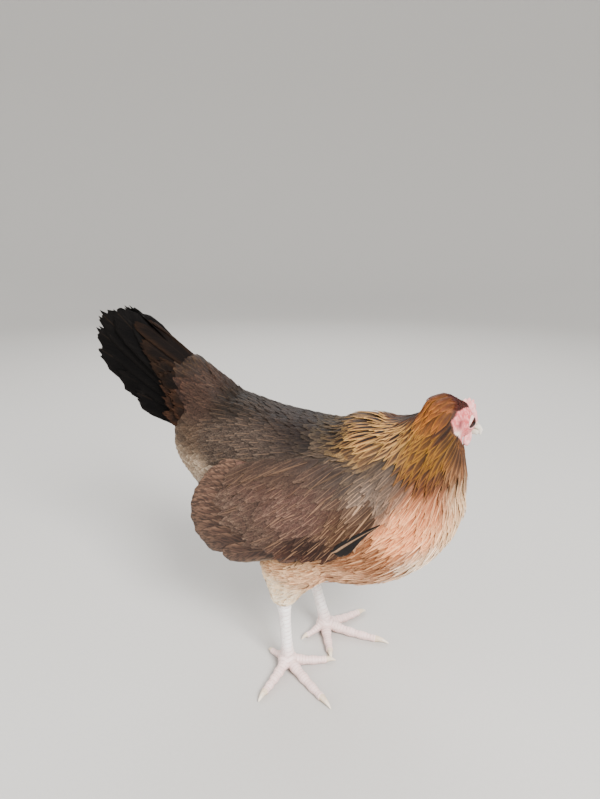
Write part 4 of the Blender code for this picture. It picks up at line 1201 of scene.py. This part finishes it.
# Which way the left eye looks, and how far its cornea rises over the ball
GAZE = (0.10, 0.99, -0.03)
CORNEA_RISE = 0.00035


def make_eye(side):
    sign = SIDES[side]
    middle = (EYE_AT[0], sign * EYE_AT[1], EYE_AT[2])
    ball = ball_form(in_head(*middle), (EYE_RADIUS,) * 3, HEAD_AXES, 48, 64)
    obj = new_piece("eyeball_" + side, *ball)
    spots = in_head_space(points_of(obj.data)) - middle
    gaze = np.array((GAZE[0], sign * GAZE[1], GAZE[2]))
    gaze /= np.linalg.norm(gaze)
    # Degrees from the middle of the gaze, for the pupil and iris
    turn = np.degrees(np.arccos(np.clip((spots / EYE_RADIUS) @ gaze, -1, 1)))
    put(obj.data, "ring", "FLOAT", turn)
    # The cornea swells over the iris
    swell = CORNEA_RISE * ramp(-turn, -34, -8)
    set_points(obj.data, points_of(obj.data) + from_head_space(gaze * swell[:, None]) - HEAD_AT)
    return obj


# Legs and feet
# Shank: share of the way from hock to ankle, and its share of the radius there
SHANK = ((-0.22, 0.75), (-0.10, 1.0), (0.0, 1.27), (0.12, 1.2), (0.3, 1.0), (0.6, 0.94), (0.8, 1.0),
         (0.96, 1.18))
TOE_JOINTS = {"middle": 3, "inner": 2, "outer": 4, "hind": 1}
# Spacing of the broad scutes on the shank and on the toes, which begin below this height
SHANK_SCUTE, TOE_SCUTE, TOE_SCUTES_BELOW = 0.0040, 0.0029, 0.016
SCUTE_RISE = 0.00034
GROOVE_DEEP = 0.00030
CLAW_SUNK = 0.0018


def toe_way(side, toe):
    heading, length = TOES[side][toe]
    return Vector((math.cos(math.radians(heading)), math.sin(math.radians(heading)), 0)), length


def toe_line(side, toe, steps):
    """Middle line of a toe up to its claw, and its radii, which swell at the pads."""
    way, length = toe_way(side, toe)
    ball = Vector((ANKLE[side].x, ANKLE[side].y, 0))
    hind = toe == "hind"
    reach = length * (1 - CLAW_SHARE)
    points, radii = [], []
    for i in range(steps + 1):
        t = i / steps
        height = 0.0042 + 0.0050 * (1 - t) ** 3 + (0.0040 * (1 - t) ** 2 if hind else 0.0)
        swell = 1.015 + 0.085 * math.cos(2 * math.pi * (TOE_JOINTS[toe] + 1) * t)
        points.append(ball + way * reach * t + Vector((0, 0, height - 0.0010 * t)))
        radii.append(TOE_RADIUS * (0.8 if hind else 1.0) * (1.12 - 0.42 * t) * swell)
    return points, radii


def leg_bones(side):
    """Middle lines of the shank and toes, to lay scales along: points and distance from the start."""
    lines = [[HOCK[side].lerp(ANKLE[side], i / 20) for i in range(21)]]
    lines += [toe_line(side, toe, 20)[0] for toe in TOES[side]]
    return lines


def make_leg(side):
    """Shank and toes as one body, with scutes raised along the bones."""
    hock, ankle = HOCK[side], ANKLE[side]
    line, radii = [], []
    for i in range(40):
        share, size = blend(SHANK, i / 39)
        line.append(hock.lerp(ankle, share))
        radii.append(SHANK_RADIUS * size)
    ball = Vector((ankle.x, ankle.y, 0.0075))
    forms = [bar(line, radii, 28), ball_form(ball, (0.0086, 0.0086, 0.0078), Matrix.Identity(3))]
    forms += [bar(*toe_line(side, toe, 32), 24) for toe in TOES[side]]
    obj = remeshed("leg_" + side, forms, LEG_VOXEL, lambda points: np.ones(len(points)), 6)
    mesh = obj.data
    points, normals = points_of(mesh), normals_of(mesh)
    # For each point: how near the nearest bone is, how far along it, and how far the point is in front
    best = np.full(len(points), 9.0)
    along = np.zeros(len(points))
    front = np.zeros(len(points))
    for number, bone in enumerate(leg_bones(side)):
        bone = rows_of(bone)
        gone = 0.0
        for start, end in zip(bone, bone[1:]):
            way = end - start
            span = np.linalg.norm(way)
            share = np.clip((points - start) @ way / span ** 2, 0, 1)
            away = points - start - share[:, None] * way
            far = np.linalg.norm(away, axis=1)
            nearer = far < best
            best[nearer] = far[nearer]
            along[nearer] = gone + share[nearer] * span
            facing = away[:, 0] if number == 0 else away[:, 2]
            front[nearer] = facing[nearer] / np.maximum(far[nearer], 1e-6)
            gone += span
    # Broad scutes overlap down the front of the shank and the tops of the toes
    period = np.where(points[:, 2] > TOE_SCUTES_BELOW, SHANK_SCUTE, TOE_SCUTE)
    tread = (along / period) % 1.0
    top = ramp(front, -0.1, 0.5)
    groove = np.exp(-((tread - 0.5) / 0.07) ** 2) * top
    step = (tread - 0.5) % 1.0
    rise = SCUTE_RISE * top * (step - 0.5) - GROOVE_DEEP * groove
    points = points + normals * rise[:, None]
    points[:, 2] = np.maximum(points[:, 2], 0.0)
    set_points(mesh, points)
    put(mesh, "groove", "FLOAT", groove)
    put(mesh, "top", "FLOAT", top)
    put(mesh, "low", "FLOAT", ramp(-points[:, 2], -0.030, -0.008))
    box_map(mesh)
    return obj


def make_claw(side, toe):
    points, radii = toe_line(side, toe, 32)
    way, length = toe_way(side, toe)
    root = points[-1]
    reach = length * CLAW_SHARE + CLAW_SUNK
    line, sizes = [], []
    for i in range(22):
        t = i / 21
        height = 0.0009 * math.sin(math.pi * t) - (root.z - 0.0012) * t ** 1.7
        line.append(root + way * (reach * t - CLAW_SUNK) + Vector((0, 0, height)))
        sizes.append(radii[-1] * 0.84 * (1 - t) ** 0.75 + 0.0003)
    obj = new_piece("nail_" + toe + "_" + side, *bar(line, sizes, 20))
    mesh = obj.data
    lifted = points_of(mesh)
    lifted[:, 2] = np.maximum(lifted[:, 2], 0.0)
    set_points(mesh, lifted)
    put(mesh, "reach", "FLOAT", np.linalg.norm(lifted - np.array(root), axis=1) / reach)
    put(mesh, "hollow", "FLOAT", np.zeros(len(lifted)))
    return obj


# Finishes
def finish_of(name, constants):
    """A named material, with one helper that adds a node to it and one that feeds its shader."""
    made = bpy.data.materials.new(name)
    made.use_nodes = True
    feed_shader = partial(feed, made.node_tree, made.node_tree.nodes["Principled BSDF"])
    feed_shader(constants)
    return made, partial(add, made.node_tree), feed_shader


def feather_finish(name, barbs, shaft_width, streak_width, gloss, painted_root_shade):
    """Soft matt feather: barbs slant out from a shaft, and marks follow the feather's own length and width.

    The barbs are real ones' spacing made several times coarser, because true ones are finer than a pixel.
    """
    made, node, feed_shader = finish_of(name, {
        "Roughness": 0.62 - gloss, "IOR": KERATIN_IOR, "Specular IOR Level": 0.12 + gloss})
    read = {key: node("Attribute", {"attribute_name": key}).outputs
            for key in ("along", "across", "luck", "mark", "plume", "rim", "dark")}
    along, across, luck = (read[key]["Fac"] for key in ("along", "across", "luck"))
    plume, rim, dark = (read[key]["Color"] for key in ("plume", "rim", "dark"))
    marks = node("SeparateXYZ", None, (read["mark"]["Vector"],)).outputs
    side = node("Math", {"operation": "ABSOLUTE"}, (across,))
    slant = node("Math", MINUS, (along, node("Math", TIMES, (side, 0.22))))
    # One noise is drawn out into barbs, the other into the broken wavy bars of the specks
    noises = []
    for length, width, apart, detail in ((barbs, 1.2, 91.0, 2.0), (barbs * 0.42, 3.2, 37.0, 3.0)):
        spot = node("CombineXYZ", None, [node("Math", TIMES, pair) for pair in (
            (slant, length), (across, width), (luck, apart))])
        noises.append(node("TexNoise", None, {"Vector": spot, "Scale": 1.0, "Detail": detail}))
    barb, wave = noises
    # The edge and tip take the rim's colour
    edge = node("Math", LARGER, (
        node("MapRange", SMOOTH, (side, 0.45, 0.95)), node("MapRange", SMOOTH, (along, 0.80, 1.0))))
    edge = node("Math", TIMES, (edge, node("MapRange", SMOOTH, (barb, 0.25, 0.6, 0.4, 1.0))))
    colour = node("Mix", COLOURS, {0: edge, 6: plume, 7: rim})
    speck = node("Math", TIMES, (node("MapRange", SMOOTH, (wave, 0.46, 0.58)), marks["Z"]))
    colour = node("Mix", COLOURS, {0: node("Math", TIMES, (speck, 0.85)), 6: colour, 7: dark})
    # A dark streak narrows towards the tip
    room = node("Math", TIMES, (node("MapRange", SMOOTH, (along, 0.55, 1.0, 1.0, 0.15)), streak_width))
    inside = node("Math", MINUS_NOT_BELOW_0, (1.0, node("Math", {"operation": "DIVIDE"}, (side, room))))
    streak = node("Math", TIMES, (node("MapRange", SMOOTH, (inside, 0.0, 0.35)), marks["Y"]))
    colour = node("Mix", COLOURS, {0: streak, 6: colour, 7: dark})
    # The shaft shows as a fine pale line, clear on some feathers and faint on others
    shaft = node("Math", TIMES, (
        node("MapRange", SMOOTH, (side, shaft_width * 0.4, shaft_width, 1.0, 0.0)), marks["X"]))
    shaft = node("Math", TIMES, (shaft, node("MapRange", SMOOTH, (luck, 0.15, 0.75, 0.25, 1.0))))
    pale = node("Mix", COLOURS, {0: 0.30, 6: rim, 7: linear("E4B48A")})
    pale = node("Mix", SHADED, {0: 1.0, 6: pale, 7: SHAFT_BRIGHTER})
    colour = node("Mix", COLOURS, {0: shaft, 6: colour, 7: pale})
    # Painted shade: the colour darkens down towards the base, for the shade under the feather that lies over
    # it, where the down is also darker; the barbs' light and dark streaks paint the shading of their relief,
    # and each feather's brightness varies at random
    own = node("Math", TIMES, (node("Math", MINUS, (luck, 0.5)), 0.26))
    shade = node("Math", PLUS, (node("MapRange", SMOOTH, (barb, 0.2, 0.8, 0.70, 1.22)), own))
    shade = node("Math", TIMES, (shade, node("MapRange", SMOOTH, (along, 0.25, 0.85, painted_root_shade, 1.0))))
    height = node("Math", PLUS, (barb, node("Math", TIMES, (shaft, 0.8))))
    feed_shader({
        "Base Color": node("Mix", SHADED, {0: 1.0, 6: colour, 7: shade}),
        "Normal": node("Bump", None, {"Height": height, "Distance": 0.0002, "Strength": 1.0})})
    return made


def skin_finish():
    """Under the coat it is downy in the plumage's colours, and on the face bare, pink, thin and wrinkled."""
    made, node, feed_shader = finish_of("bare_face_skin_and_down", {
        "Roughness": 0.5, "IOR": FLESH_IOR, "Subsurface Weight": 0.06, "Subsurface Radius": FLESH_GLOW,
        "Subsurface Scale": 1.0})
    where = node("TexCoord").outputs["Object"]
    read = {key: node("Attribute", {"attribute_name": key}).outputs
            for key in ("bare", "flush", "pallor", "plume", "dark")}
    # Wrinkles and pimples a millimetre apart give the face its pebbled look
    pebble = node("TexVoronoi", None, {"Vector": where, "Scale": 900.0})
    crease = node("TexNoise", None, {"Vector": where, "Scale": 420.0, "Detail": 4.0})
    flesh = node("Mix", COLOURS, {
        0: node("MapRange", SMOOTH, (crease, 0.35, 0.70)),
        6: linear("BE5152"), 7: linear("DE8886")})
    # Painted shade: the ear's opening is painted dark red, the shade in its hollow over skin that is redder
    # there
    for share, code in ((read["flush"]["Fac"], "70262E"), (read["pallor"]["Fac"], "E8D3C8"),
                        (node("MapRange", SMOOTH, (pebble, 0.0, 0.5, 0.30, 0.0)), "B4605C")):
        flesh = node("Mix", COLOURS, {0: share, 6: flesh, 7: linear(code)})
    down = node("TexNoise", None, {"Vector": where, "Scale": 1500.0, "Detail": 2.0})
    soft = node("Mix", COLOURS, {
        0: node("MapRange", SMOOTH, (down, 0.3, 0.7, 0.5, 0.0)),
        6: read["plume"]["Color"], 7: read["dark"]["Color"]})
    height = node("Math", PLUS, (crease, node("Math", TIMES, (pebble, -0.7))))
    feed_shader({
        "Base Color": node("Mix", COLOURS, {0: read["bare"]["Fac"], 6: soft, 7: flesh}),
        "Roughness": node("MapRange", SMOOTH, (read["bare"]["Fac"], 0.0, 1.0, 0.8, 0.45)),
        "Normal": node("Bump", None, {"Height": height, "Distance": 0.00045, "Strength": 1.0})})
    return made


def flesh_finish(name, light, deep, grain):
    """Soft moist flesh with a fine granular surface, which keeps its highlights broken and small."""
    made, node, feed_shader = finish_of(name, {
        "Roughness": 0.42, "IOR": FLESH_IOR, "Subsurface Weight": 0.10, "Subsurface Radius": FLESH_GLOW,
        "Subsurface Scale": 1.0})
    where = node("TexCoord").outputs["Object"]
    cell = node("TexVoronoi", None, {"Vector": where, "Scale": grain})
    cloud = node("TexNoise", None, {"Vector": where, "Scale": 260.0, "Detail": 3.0})
    colour = node("Mix", COLOURS, {
        0: node("MapRange", SMOOTH, (cloud, 0.35, 0.68)), 6: linear(deep), 7: linear(light)})
    height = node("Math", PLUS, (cloud, node("Math", TIMES, (cell, -0.8))))
    feed_shader({
        "Base Color": node("Mix", COLOURS, {
            0: node("MapRange", SMOOTH, (cell, 0.1, 0.6, 0.0, 0.35)), 6: colour, 7: linear(deep)}),
        "Normal": node("Bump", None, {"Height": height, "Distance": 0.0004, "Strength": 1.0})})
    return made


def leg_finish():
    """Dry horny scales, smooth and faintly glossy on each plate, darker in the grooves between them."""
    made, node, feed_shader = finish_of("leg_scale_horn", {
        "Roughness": 0.45, "IOR": 1.5, "Subsurface Weight": 0.05,
        "Subsurface Radius": (0.0020, 0.0010, 0.0007), "Subsurface Scale": 1.0})
    where = node("TexCoord").outputs["Object"]
    groove, top, low = (node("Attribute", {"attribute_name": key}).outputs["Fac"]
                        for key in ("groove", "top", "low"))
    # Small round scales cover what the broad ones leave free
    cell = node("TexVoronoi", {"feature": "DISTANCE_TO_EDGE"}, {"Vector": where, "Scale": 640.0})
    free = node("Math", MINUS_NOT_BELOW_0, (1.0, top))
    seam = node("Math", TIMES, (node("MapRange", SMOOTH, (cell, 0.0, 0.10, 1.0, 0.0)), free))
    cloud = node("TexNoise", None, {"Vector": where, "Scale": 180.0, "Detail": 4.0})
    colour = node("Mix", COLOURS, {0: low, 6: linear("FFFAF6"), 7: linear("F3D5CE")})
    # Darker in the grooves and in the seams between the small scales
    darker_in_grooves = node("Math", TIMES, (node("Math", LARGER, (groove, seam)), 0.55))
    for share, code in ((node("MapRange", SMOOTH, (cloud, 0.42, 0.72, 0.0, 0.22)), "E0BAB1"),
                        (darker_in_grooves, "9A7068")):
        colour = node("Mix", COLOURS, {0: share, 6: colour, 7: linear(code)})
    height = node("Math", MINUS, (node("Math", TIMES, (cloud, 0.3)), seam))
    feed_shader({
        "Base Color": colour,
        "Normal": node("Bump", None, {"Height": height, "Distance": 0.00025, "Strength": 1.0})})
    return made


def horn_finish(name, root, tip, roughness):
    """Polished horn: fine growth lines run along it, and it pales or darkens towards the tip."""
    made, node, feed_shader = finish_of(name, {"Roughness": roughness, "IOR": KERATIN_IOR})
    where = node("TexCoord").outputs["Object"]
    line = node("TexNoise", None, {"Vector": where, "Scale": 520.0, "Detail": 4.0})
    reach, hollow = (node("Attribute", {"attribute_name": key}).outputs["Fac"]
                     for key in ("reach", "hollow"))
    colour = linear(root)
    lines = node("MapRange", SMOOTH, (line, 0.45, 0.75, 0.0, 0.4))
    # Painted shade: the nostril slits darken, for the shade in their hollows; the tip's colour and the growth
    # lines are the horn's own
    for share, code in ((reach, tip), (lines, "A08468"), (hollow, "2E1D18")):
        colour = node("Mix", COLOURS, {0: share, 6: colour, 7: linear(code)})
    feed_shader({
        "Base Color": colour,
        "Normal": node("Bump", None, {"Height": line, "Distance": 0.00012, "Strength": 1.0})})
    return made


def eye_finish():
    """A wet eye: red-brown iris darkened as painted shade under the narrow lids, black pupil, and a clear
    coat that gives a sharp highlight.
    """
    made, node, feed_shader = finish_of("wet_eye", {
        "Roughness": 0.12, "IOR": 1.38, "Specular IOR Level": 0.2,
        "Coat Weight": 0.35, "Coat Roughness": 0.03})
    ring = node("Attribute", {"attribute_name": "ring"}).outputs["Fac"]
    where = node("TexCoord").outputs["Object"]
    fleck = node("TexNoise", None, {"Vector": where, "Scale": 1600.0, "Detail": 3.0})
    # Painted shade: the red-brown iris is made nearly black, for the shade of the narrow lids over it
    iris = node("Mix", COLOURS, {
        0: node("MapRange", SMOOTH, (fleck, 0.35, 0.7)), 6: linear("1E0C08"), 7: linear("3A180E")})
    # The pupil ends and the dark rim begins at these degrees from the middle of the gaze
    colour = node("Mix", COLOURS, {
        0: node("MapRange", SMOOTH, (ring, 17.0, 19.0)), 6: linear("050403"), 7: iris})
    feed_shader({"Base Color": node("Mix", COLOURS, {
        0: node("MapRange", SMOOTH, (ring, 33.0, 38.0)), 6: colour, 7: linear("1E0E0A")})})
    return made


def floor_finish():
    """Plain pale studio floor, matt, so that it shows only the soft shadow."""
    made, node, feed_shader = finish_of("pale_floor", {"Roughness": 0.8})
    grain = node("TexNoise", None, {
        "Vector": node("TexCoord").outputs["Object"], "Scale": 300.0, "Detail": 3.0})
    feed_shader({"Base Color": node("Mix", COLOURS, {
        0: grain, 6: linear("BAB7B2"), 7: linear("C0BDB8")})})
    return made


# Putting her together
def inside_outline(x, z, outline):
    """True at points inside a closed outline of the side view."""
    within = np.zeros(len(x), dtype=bool)
    for (x0, z0), (x1, z1) in zip(outline, outline[1:] + outline[:1]):
        crosses = (z0 > z) != (z1 > z)
        within ^= crosses & (x < (x1 - x0) * (z - z0) / (z1 - z0 + 1e-12) + x0)
    return within


# Where the coat pieces meet: heights below which the thighs' coat grows and where it ends, how far out a
# point is that a wing covers, how far up the tail's root its coat begins and ends, and where the pale
# streaks of the breast end behind and above
THIGH_BELOW, THIGH_END = 0.102, 0.071
UNDER_WING = 0.044
TAIL_COAT = (0.017, 0.052)
STREAKS_FROM, STREAKS_BELOW = 0.02, 0.200


# Soft spots of the face in head coordinates: forward, up, and half width both ways
EAR = (-0.0149, -0.0018, 0.0026, 0.0036)
PALE_THROAT = (-0.0150, -0.0095, 0.0060, 0.0030)


def make_skin():
    """One closed body under the coat, with both eyes' lids, and where each coat piece grows on it."""
    skull = head_loft(HEAD_STATIONS, 28, 36, HEAD_SQUARENESS, shaved=0.0006)
    forms = [torso_form(), neck_form(), skull, tail_root_form()]
    forms += [thigh_form(side) for side in HOCK] + [wing_form(sign) for sign in (-1, 1)]
    skin = remeshed("skin", forms, SKIN_VOXEL, relax_weight, 24)
    body = len(skin.data.vertices)
    points = [tuple(point) for point in points_of(skin.data)]
    faces = [tuple(face.vertices) for face in skin.data.polygons]
    bpy.data.objects.remove(skin)
    skin = new_piece("skin", *join_forms([(points, faces), lids_form(1), lids_form(-1)]), closed=False)
    points, bare, top = dress(skin, has_face=True)
    is_lid = np.arange(len(points)) >= body
    bare = np.where(is_lid, 1.0, bare)
    put(skin.data, "bare", "FLOAT", bare)
    spots = in_head_space(points)
    x, y, z = spots.T
    # Painted shade: a dark red patch at the ear stands for the shade in its opening
    ear = soft_spot(x, z, EAR)
    put(skin.data, "flush", "FLOAT", np.clip(ear * 1.1, 0, 1))
    rim = np.hypot(x - EYE_AT[0], z - EYE_AT[2]) / lid_gap(np.arctan2(z - EYE_AT[2], x - EYE_AT[0]))
    pale = is_lid * np.exp(-((rim - 1.30) / 0.40) ** 2) * 0.7
    throat = soft_spot(x, z, PALE_THROAT) * 0.9
    put(skin.data, "pallor", "FLOAT", np.clip(np.maximum(pale, throat), 0, 1))
    # Where each coat piece grows
    open_skin = (1 - np.clip(bare * 1.6, 0, 1)) * ~is_lid
    head = ramp(-np.linalg.norm(points - np.array(HEAD_AT), axis=1), -0.027, -0.023)
    # The crown's and cheeks' small feathers stop at the back of the skull
    small = open_skin * head
    neck = above_edge(points, 0.016) * (1 - head) * open_skin
    body_share = (1 - above_edge(points, 0.008)) * (1 - head) * open_skin
    winged = inside_outline(points[:, 0], points[:, 2], WING_CORE) & (np.abs(points[:, 1]) > UNDER_WING)
    leg = points[:, 2] < THIGH_BELOW
    stub = points[:, 2] < THIGH_END
    # How far a point is up the tail's root
    up_tail = -(points[:, 0] + 0.066) * 0.79 + (points[:, 2] - 0.219) * 0.61
    tail = (up_tail > TAIL_COAT[0]) & (points[:, 2] > 0.215) & (np.abs(points[:, 1]) < 0.026)
    left = points[:, 1] > 0
    torso = body_share * ~winged * ~leg * ~tail
    for name, share in (
        ("grow_crown", small), ("grow_neck", neck), ("grow_torso_left", torso * left),
        ("grow_torso_right", torso * ~left), ("grow_tail", body_share * tail * (up_tail < TAIL_COAT[1])),
        ("grow_thigh_left", leg * left * ~stub), ("grow_thigh_right", leg * ~left * ~stub),
        ("grow_streaks", torso * (points[:, 0] > STREAKS_FROM) * (points[:, 2] < STREAKS_BELOW)),
    ):
        put(skin.data, name, "FLOAT", share.astype(float))
    box_map(skin.data)
    return skin


def place(obj, slot, replaced=(), finish=None, mapped=False):
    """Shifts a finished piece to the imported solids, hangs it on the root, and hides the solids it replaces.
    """
    obj.data.transform(Matrix.Translation(SHIFT))
    if finish is not None:
        obj.data.materials.clear()
        obj.data.materials.append(finish)
    if mapped:
        box_map(obj.data)
    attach(obj, "root")
    if replaced:
        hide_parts(*replaced)


# Small feathers of each sort: shares of the full width along the length, how far the edges lie back,
# and how ragged they are
FEATHERS = {
    "round": [
        ((0.30, 0.62, 0.86, 0.98, 1.0, 0.95, 0.66), 0.20, 0.03),
        ((0.26, 0.58, 0.84, 1.0, 1.0, 0.90, 0.58), 0.24, 0.035),
        ((0.32, 0.66, 0.90, 0.98, 0.96, 0.88, 0.50), 0.18, 0.04)],
    "lance": [
        ((0.34, 0.70, 0.92, 0.96, 0.84, 0.56, 0.16), 0.10, 0.04),
        ((0.32, 0.66, 0.90, 0.98, 0.88, 0.60, 0.12), 0.12, 0.05),
        ((0.36, 0.74, 0.94, 0.92, 0.78, 0.48, 0.14), 0.08, 0.04)],
}
# How high the roots of each sort lie over the skin
RAISED = {"round": 0.0004, "lance": 0.0009}
# Each coat piece: name, where it grows, sort, finish, slot, spacing, then length, width and lift as shares
# of the plumage table's, how far it swings aside, and the seed. Streaks are single narrow pale feathers
# that lie over the others
COATS = [
    ("coat_torso_right", "grow_torso_right", "round", "body", "body_feathers", 0.0039, 1, 1, 1, 0.10, 3),
    ("coat_torso_left", "grow_torso_left", "round", "body", "body_feathers", 0.0039, 1, 1, 1, 0.10, 4),
    ("coat_neck", "grow_neck", "lance", "hackle", "hackle_feathers", 0.0030, 1, 1, 1, 0.12, 5),
    ("coat_crown", "grow_crown", "round", "hackle", "hackle_feathers", 0.0011, 0.26, 0.34, 0.14, 0.12, 6),
    ("coat_thigh_right", "grow_thigh_right", "round", "body", "body_feathers", 0.0030, 1, 1, 1, 0.16, 9),
    ("coat_thigh_left", "grow_thigh_left", "round", "body", "body_feathers", 0.0030, 1, 1, 1, 0.16, 10),
    ("coat_coverts_right", "grow", "round", "wing", "wing_feathers", 0.0042, 1, 1, 1, 0.10, 11),
    ("coat_coverts_left", "grow", "round", "wing", "wing_feathers", 0.0042, 1, 1, 1, 0.10, 12),
    ("coat_tail", "grow_tail", "round", "body", "tail_feathers", 0.0038, 1, 1, 1, 0.08, 13),
    ("streaks_breast", "grow_streaks", "lance", "streak", "body_feathers", 0.0076, 1.3, 0.30, 1, 0.16, 14),
    ("streaks_wing_right", "grow", "lance", "streak", "wing_feathers", 0.0110, 1.2, 0.22, 1, 0.16, 15),
    ("streaks_wing_left", "grow", "lance", "streak", "wing_feathers", 0.0110, 1.2, 0.22, 1, 0.16, 16),
]


def make_coats(skin, finishes):
    """Every coat piece with its slot."""
    tree = coat_tree()
    sets = {sort: feather_set(sort + "_feathers", outlines) for sort, outlines in FEATHERS.items()}
    wings = {"right": wing_host(-1), "left": wing_host(1)}
    made = []
    for name, where, sort, finish, slot, spacing, length, width, lift, jitter, seed in COATS:
        # What grows everywhere on its host grows on a wing
        host = wings[name.rsplit("_", 1)[1]] if where == "grow" else skin
        coat = grow(name, host, tree, Templates=sets[sort], Finish=finishes[finish], Where=where,
                    Spacing=spacing, Length=float(length), Width=float(width), Lift=float(lift),
                    Raise=RAISED[sort], Jitter=jitter, Seed=seed)
        made.append((coat, slot))
    for host in wings.values():
        bpy.data.objects.remove(host)
    return made


# The camera stands where the photograph's did: place, lens on a 36 mm frame, and degrees round and down
CAMERA_AT = Vector((0.1542, -0.4430, 0.372))
LENS = 27.03
CAMERA_TURN, CAMERA_DIP = math.radians(20), math.radians(16)
WORLD_LIGHT = 1.20
# Soft lights: name, place, size and power in watts, all turned to the middle of the hen
LIGHTS = [
    ("key", (1.1, -1.0, 1.3), 0.7, 88.0),
    ("fill", (-1.2, -1.0, 0.8), 1.2, 16.0),
    ("back", (-0.4, 1.3, 1.3), 1.0, 18.0),
]
HEN_MIDDLE = Vector((0, 0, 0.15))
# The floor is flat out to here, then bends up on this radius, and ends at this height
FLOOR_FLAT, FLOOR_BEND, FLOOR_TOP = 2.1, 1.2, 1.9
FLOOR_SIDES = 96


def make_camera():
    lens = bpy.data.cameras.new("camera")
    lens.sensor_width = 36.0
    lens.lens = LENS
    lens.clip_start = 0.01
    camera = in_scene("camera", lens)
    camera.location = CAMERA_AT + SHIFT
    level = math.cos(CAMERA_DIP)
    ahead = Vector((-math.sin(CAMERA_TURN) * level, math.cos(CAMERA_TURN) * level, -math.sin(CAMERA_DIP)))
    camera.rotation_euler = ahead.to_track_quat("-Z", "Y").to_euler()
    bpy.context.scene.camera = camera


def make_studio():
    # The floor rises in a soft curve all round, so no edge shows behind her from any side
    profile = [(FLOOR_FLAT * i / 3, 0.0) for i in range(1, 4)]
    for turn in map(math.radians, range(6, 91, 6)):
        profile.append((FLOOR_FLAT + FLOOR_BEND * math.sin(turn), FLOOR_BEND * (1 - math.cos(turn))))
    profile.append((FLOOR_FLAT + FLOOR_BEND, FLOOR_TOP))
    turns = [2 * math.pi * i / FLOOR_SIDES for i in range(FLOOR_SIDES)]
    points = [(0, 0, 0)]
    points += [(radius * math.cos(turn), radius * math.sin(turn), rise) for radius, rise in profile
               for turn in turns]
    faces = [(0, 1 + i, 1 + (i + 1) % FLOOR_SIDES) for i in range(FLOOR_SIDES)]
    for ring in range(len(profile) - 1):
        for i in range(FLOOR_SIDES):
            a, b = (1 + ring * FLOOR_SIDES + j % FLOOR_SIDES for j in (i, i + 1))
            faces.append((a, a + FLOOR_SIDES, b + FLOOR_SIDES, b))
    floor = new_piece("floor", points, faces, closed=False)
    floor.data.materials.append(floor_finish())
    world = bpy.data.worlds.new("soft_studio")
    world.use_nodes = True
    background = world.node_tree.nodes["Background"]
    background.inputs["Color"].default_value = linear("F4F5F7")
    background.inputs["Strength"].default_value = WORLD_LIGHT
    bpy.context.scene.world = world
    for name, at, size, power in LIGHTS:
        light = bpy.data.lights.new(name, "AREA")
        light.size = size
        light.energy = power
        obj = in_scene(name, light)
        obj.location = at
        obj.rotation_euler = (HEN_MIDDLE - Vector(at)).to_track_quat("-Z", "Y").to_euler()


# Feather finishes: name, barbs along a feather, half widths of the pale shaft and the dark streak as
# shares of the feather's, gloss, and how bright the base is left by its painted shade
FEATHER_FINISHES = {
    "streak": ("streak_feather", 40.0, 1.40, 0.20, 0.0, 0.8),
    "body": ("body_feather", 46.0, 0.11, 0.45, 0.0, 0.55),
    "hackle": ("hackle_feather", 60.0, 0.05, 0.50, 0.02, 0.45),
    "wing": ("wing_feather", 60.0, 0.07, 0.26, 0.04, 0.62),
    "tail": ("tail_feather", 110.0, 0.04, 0.20, -0.08, 0.8),
}


def build():
    finishes = {key: feather_finish(*values) for key, values in FEATHER_FINISHES.items()}
    skin = make_skin()
    coats = make_coats(skin, finishes)
    place(skin, "face_skin", ("torso", "neck", "head", "thigh_left", "thigh_right"), skin_finish())
    for coat, slot in coats:
        place(coat, slot)
    tail = blade_piece("tail_feathers", tail_blades(), finishes["tail"])
    place(tail, "tail_feathers", ("tail",))
    for side, sign in SIDES.items():
        wing = blade_piece("wing_feathers_" + side, wing_blades(sign), finishes["wing"])
        place(wing, "wing_feathers", ("wing_" + side,))

    bill = horn_finish("bill_horn", "CBB39B", "E9E0D2", 0.32)
    for half, node in zip(make_bill(), ("beak_upper", "beak_lower")):
        place(half, "bill_horn", (node,), bill, True)
    comb = flesh_finish("comb_flesh", "F0BDB8", "D98A88", 1300.0)
    place(make_comb(), "comb_skin", ("comb",), comb, True)
    wet = eye_finish()
    lobe = flesh_finish("earlobe_flesh", "EBD6CC", "D9A8A0", 1500.0)
    scale = leg_finish()
    claw = horn_finish("claw_horn", "D8BE9E", "F2E6D4", 0.38)
    for side in SIDES:
        place(make_eye(side), "eye", ("eye_" + side,), wet, True)
        place(make_wattle(side), "comb_skin", ("wattle_" + side,), comb, True)
        place(make_earlobe(side), "comb_skin", ("earlobe_" + side,), lobe, True)
        place(make_leg(side), "leg_scales", ("shank_" + side, "foot_" + side), scale)
        for toe in TOES[side]:
            place(make_claw(side, toe), "claw_horn", ("claw_" + toe + "_" + side,), claw, True)


make_camera()
make_studio()
build()
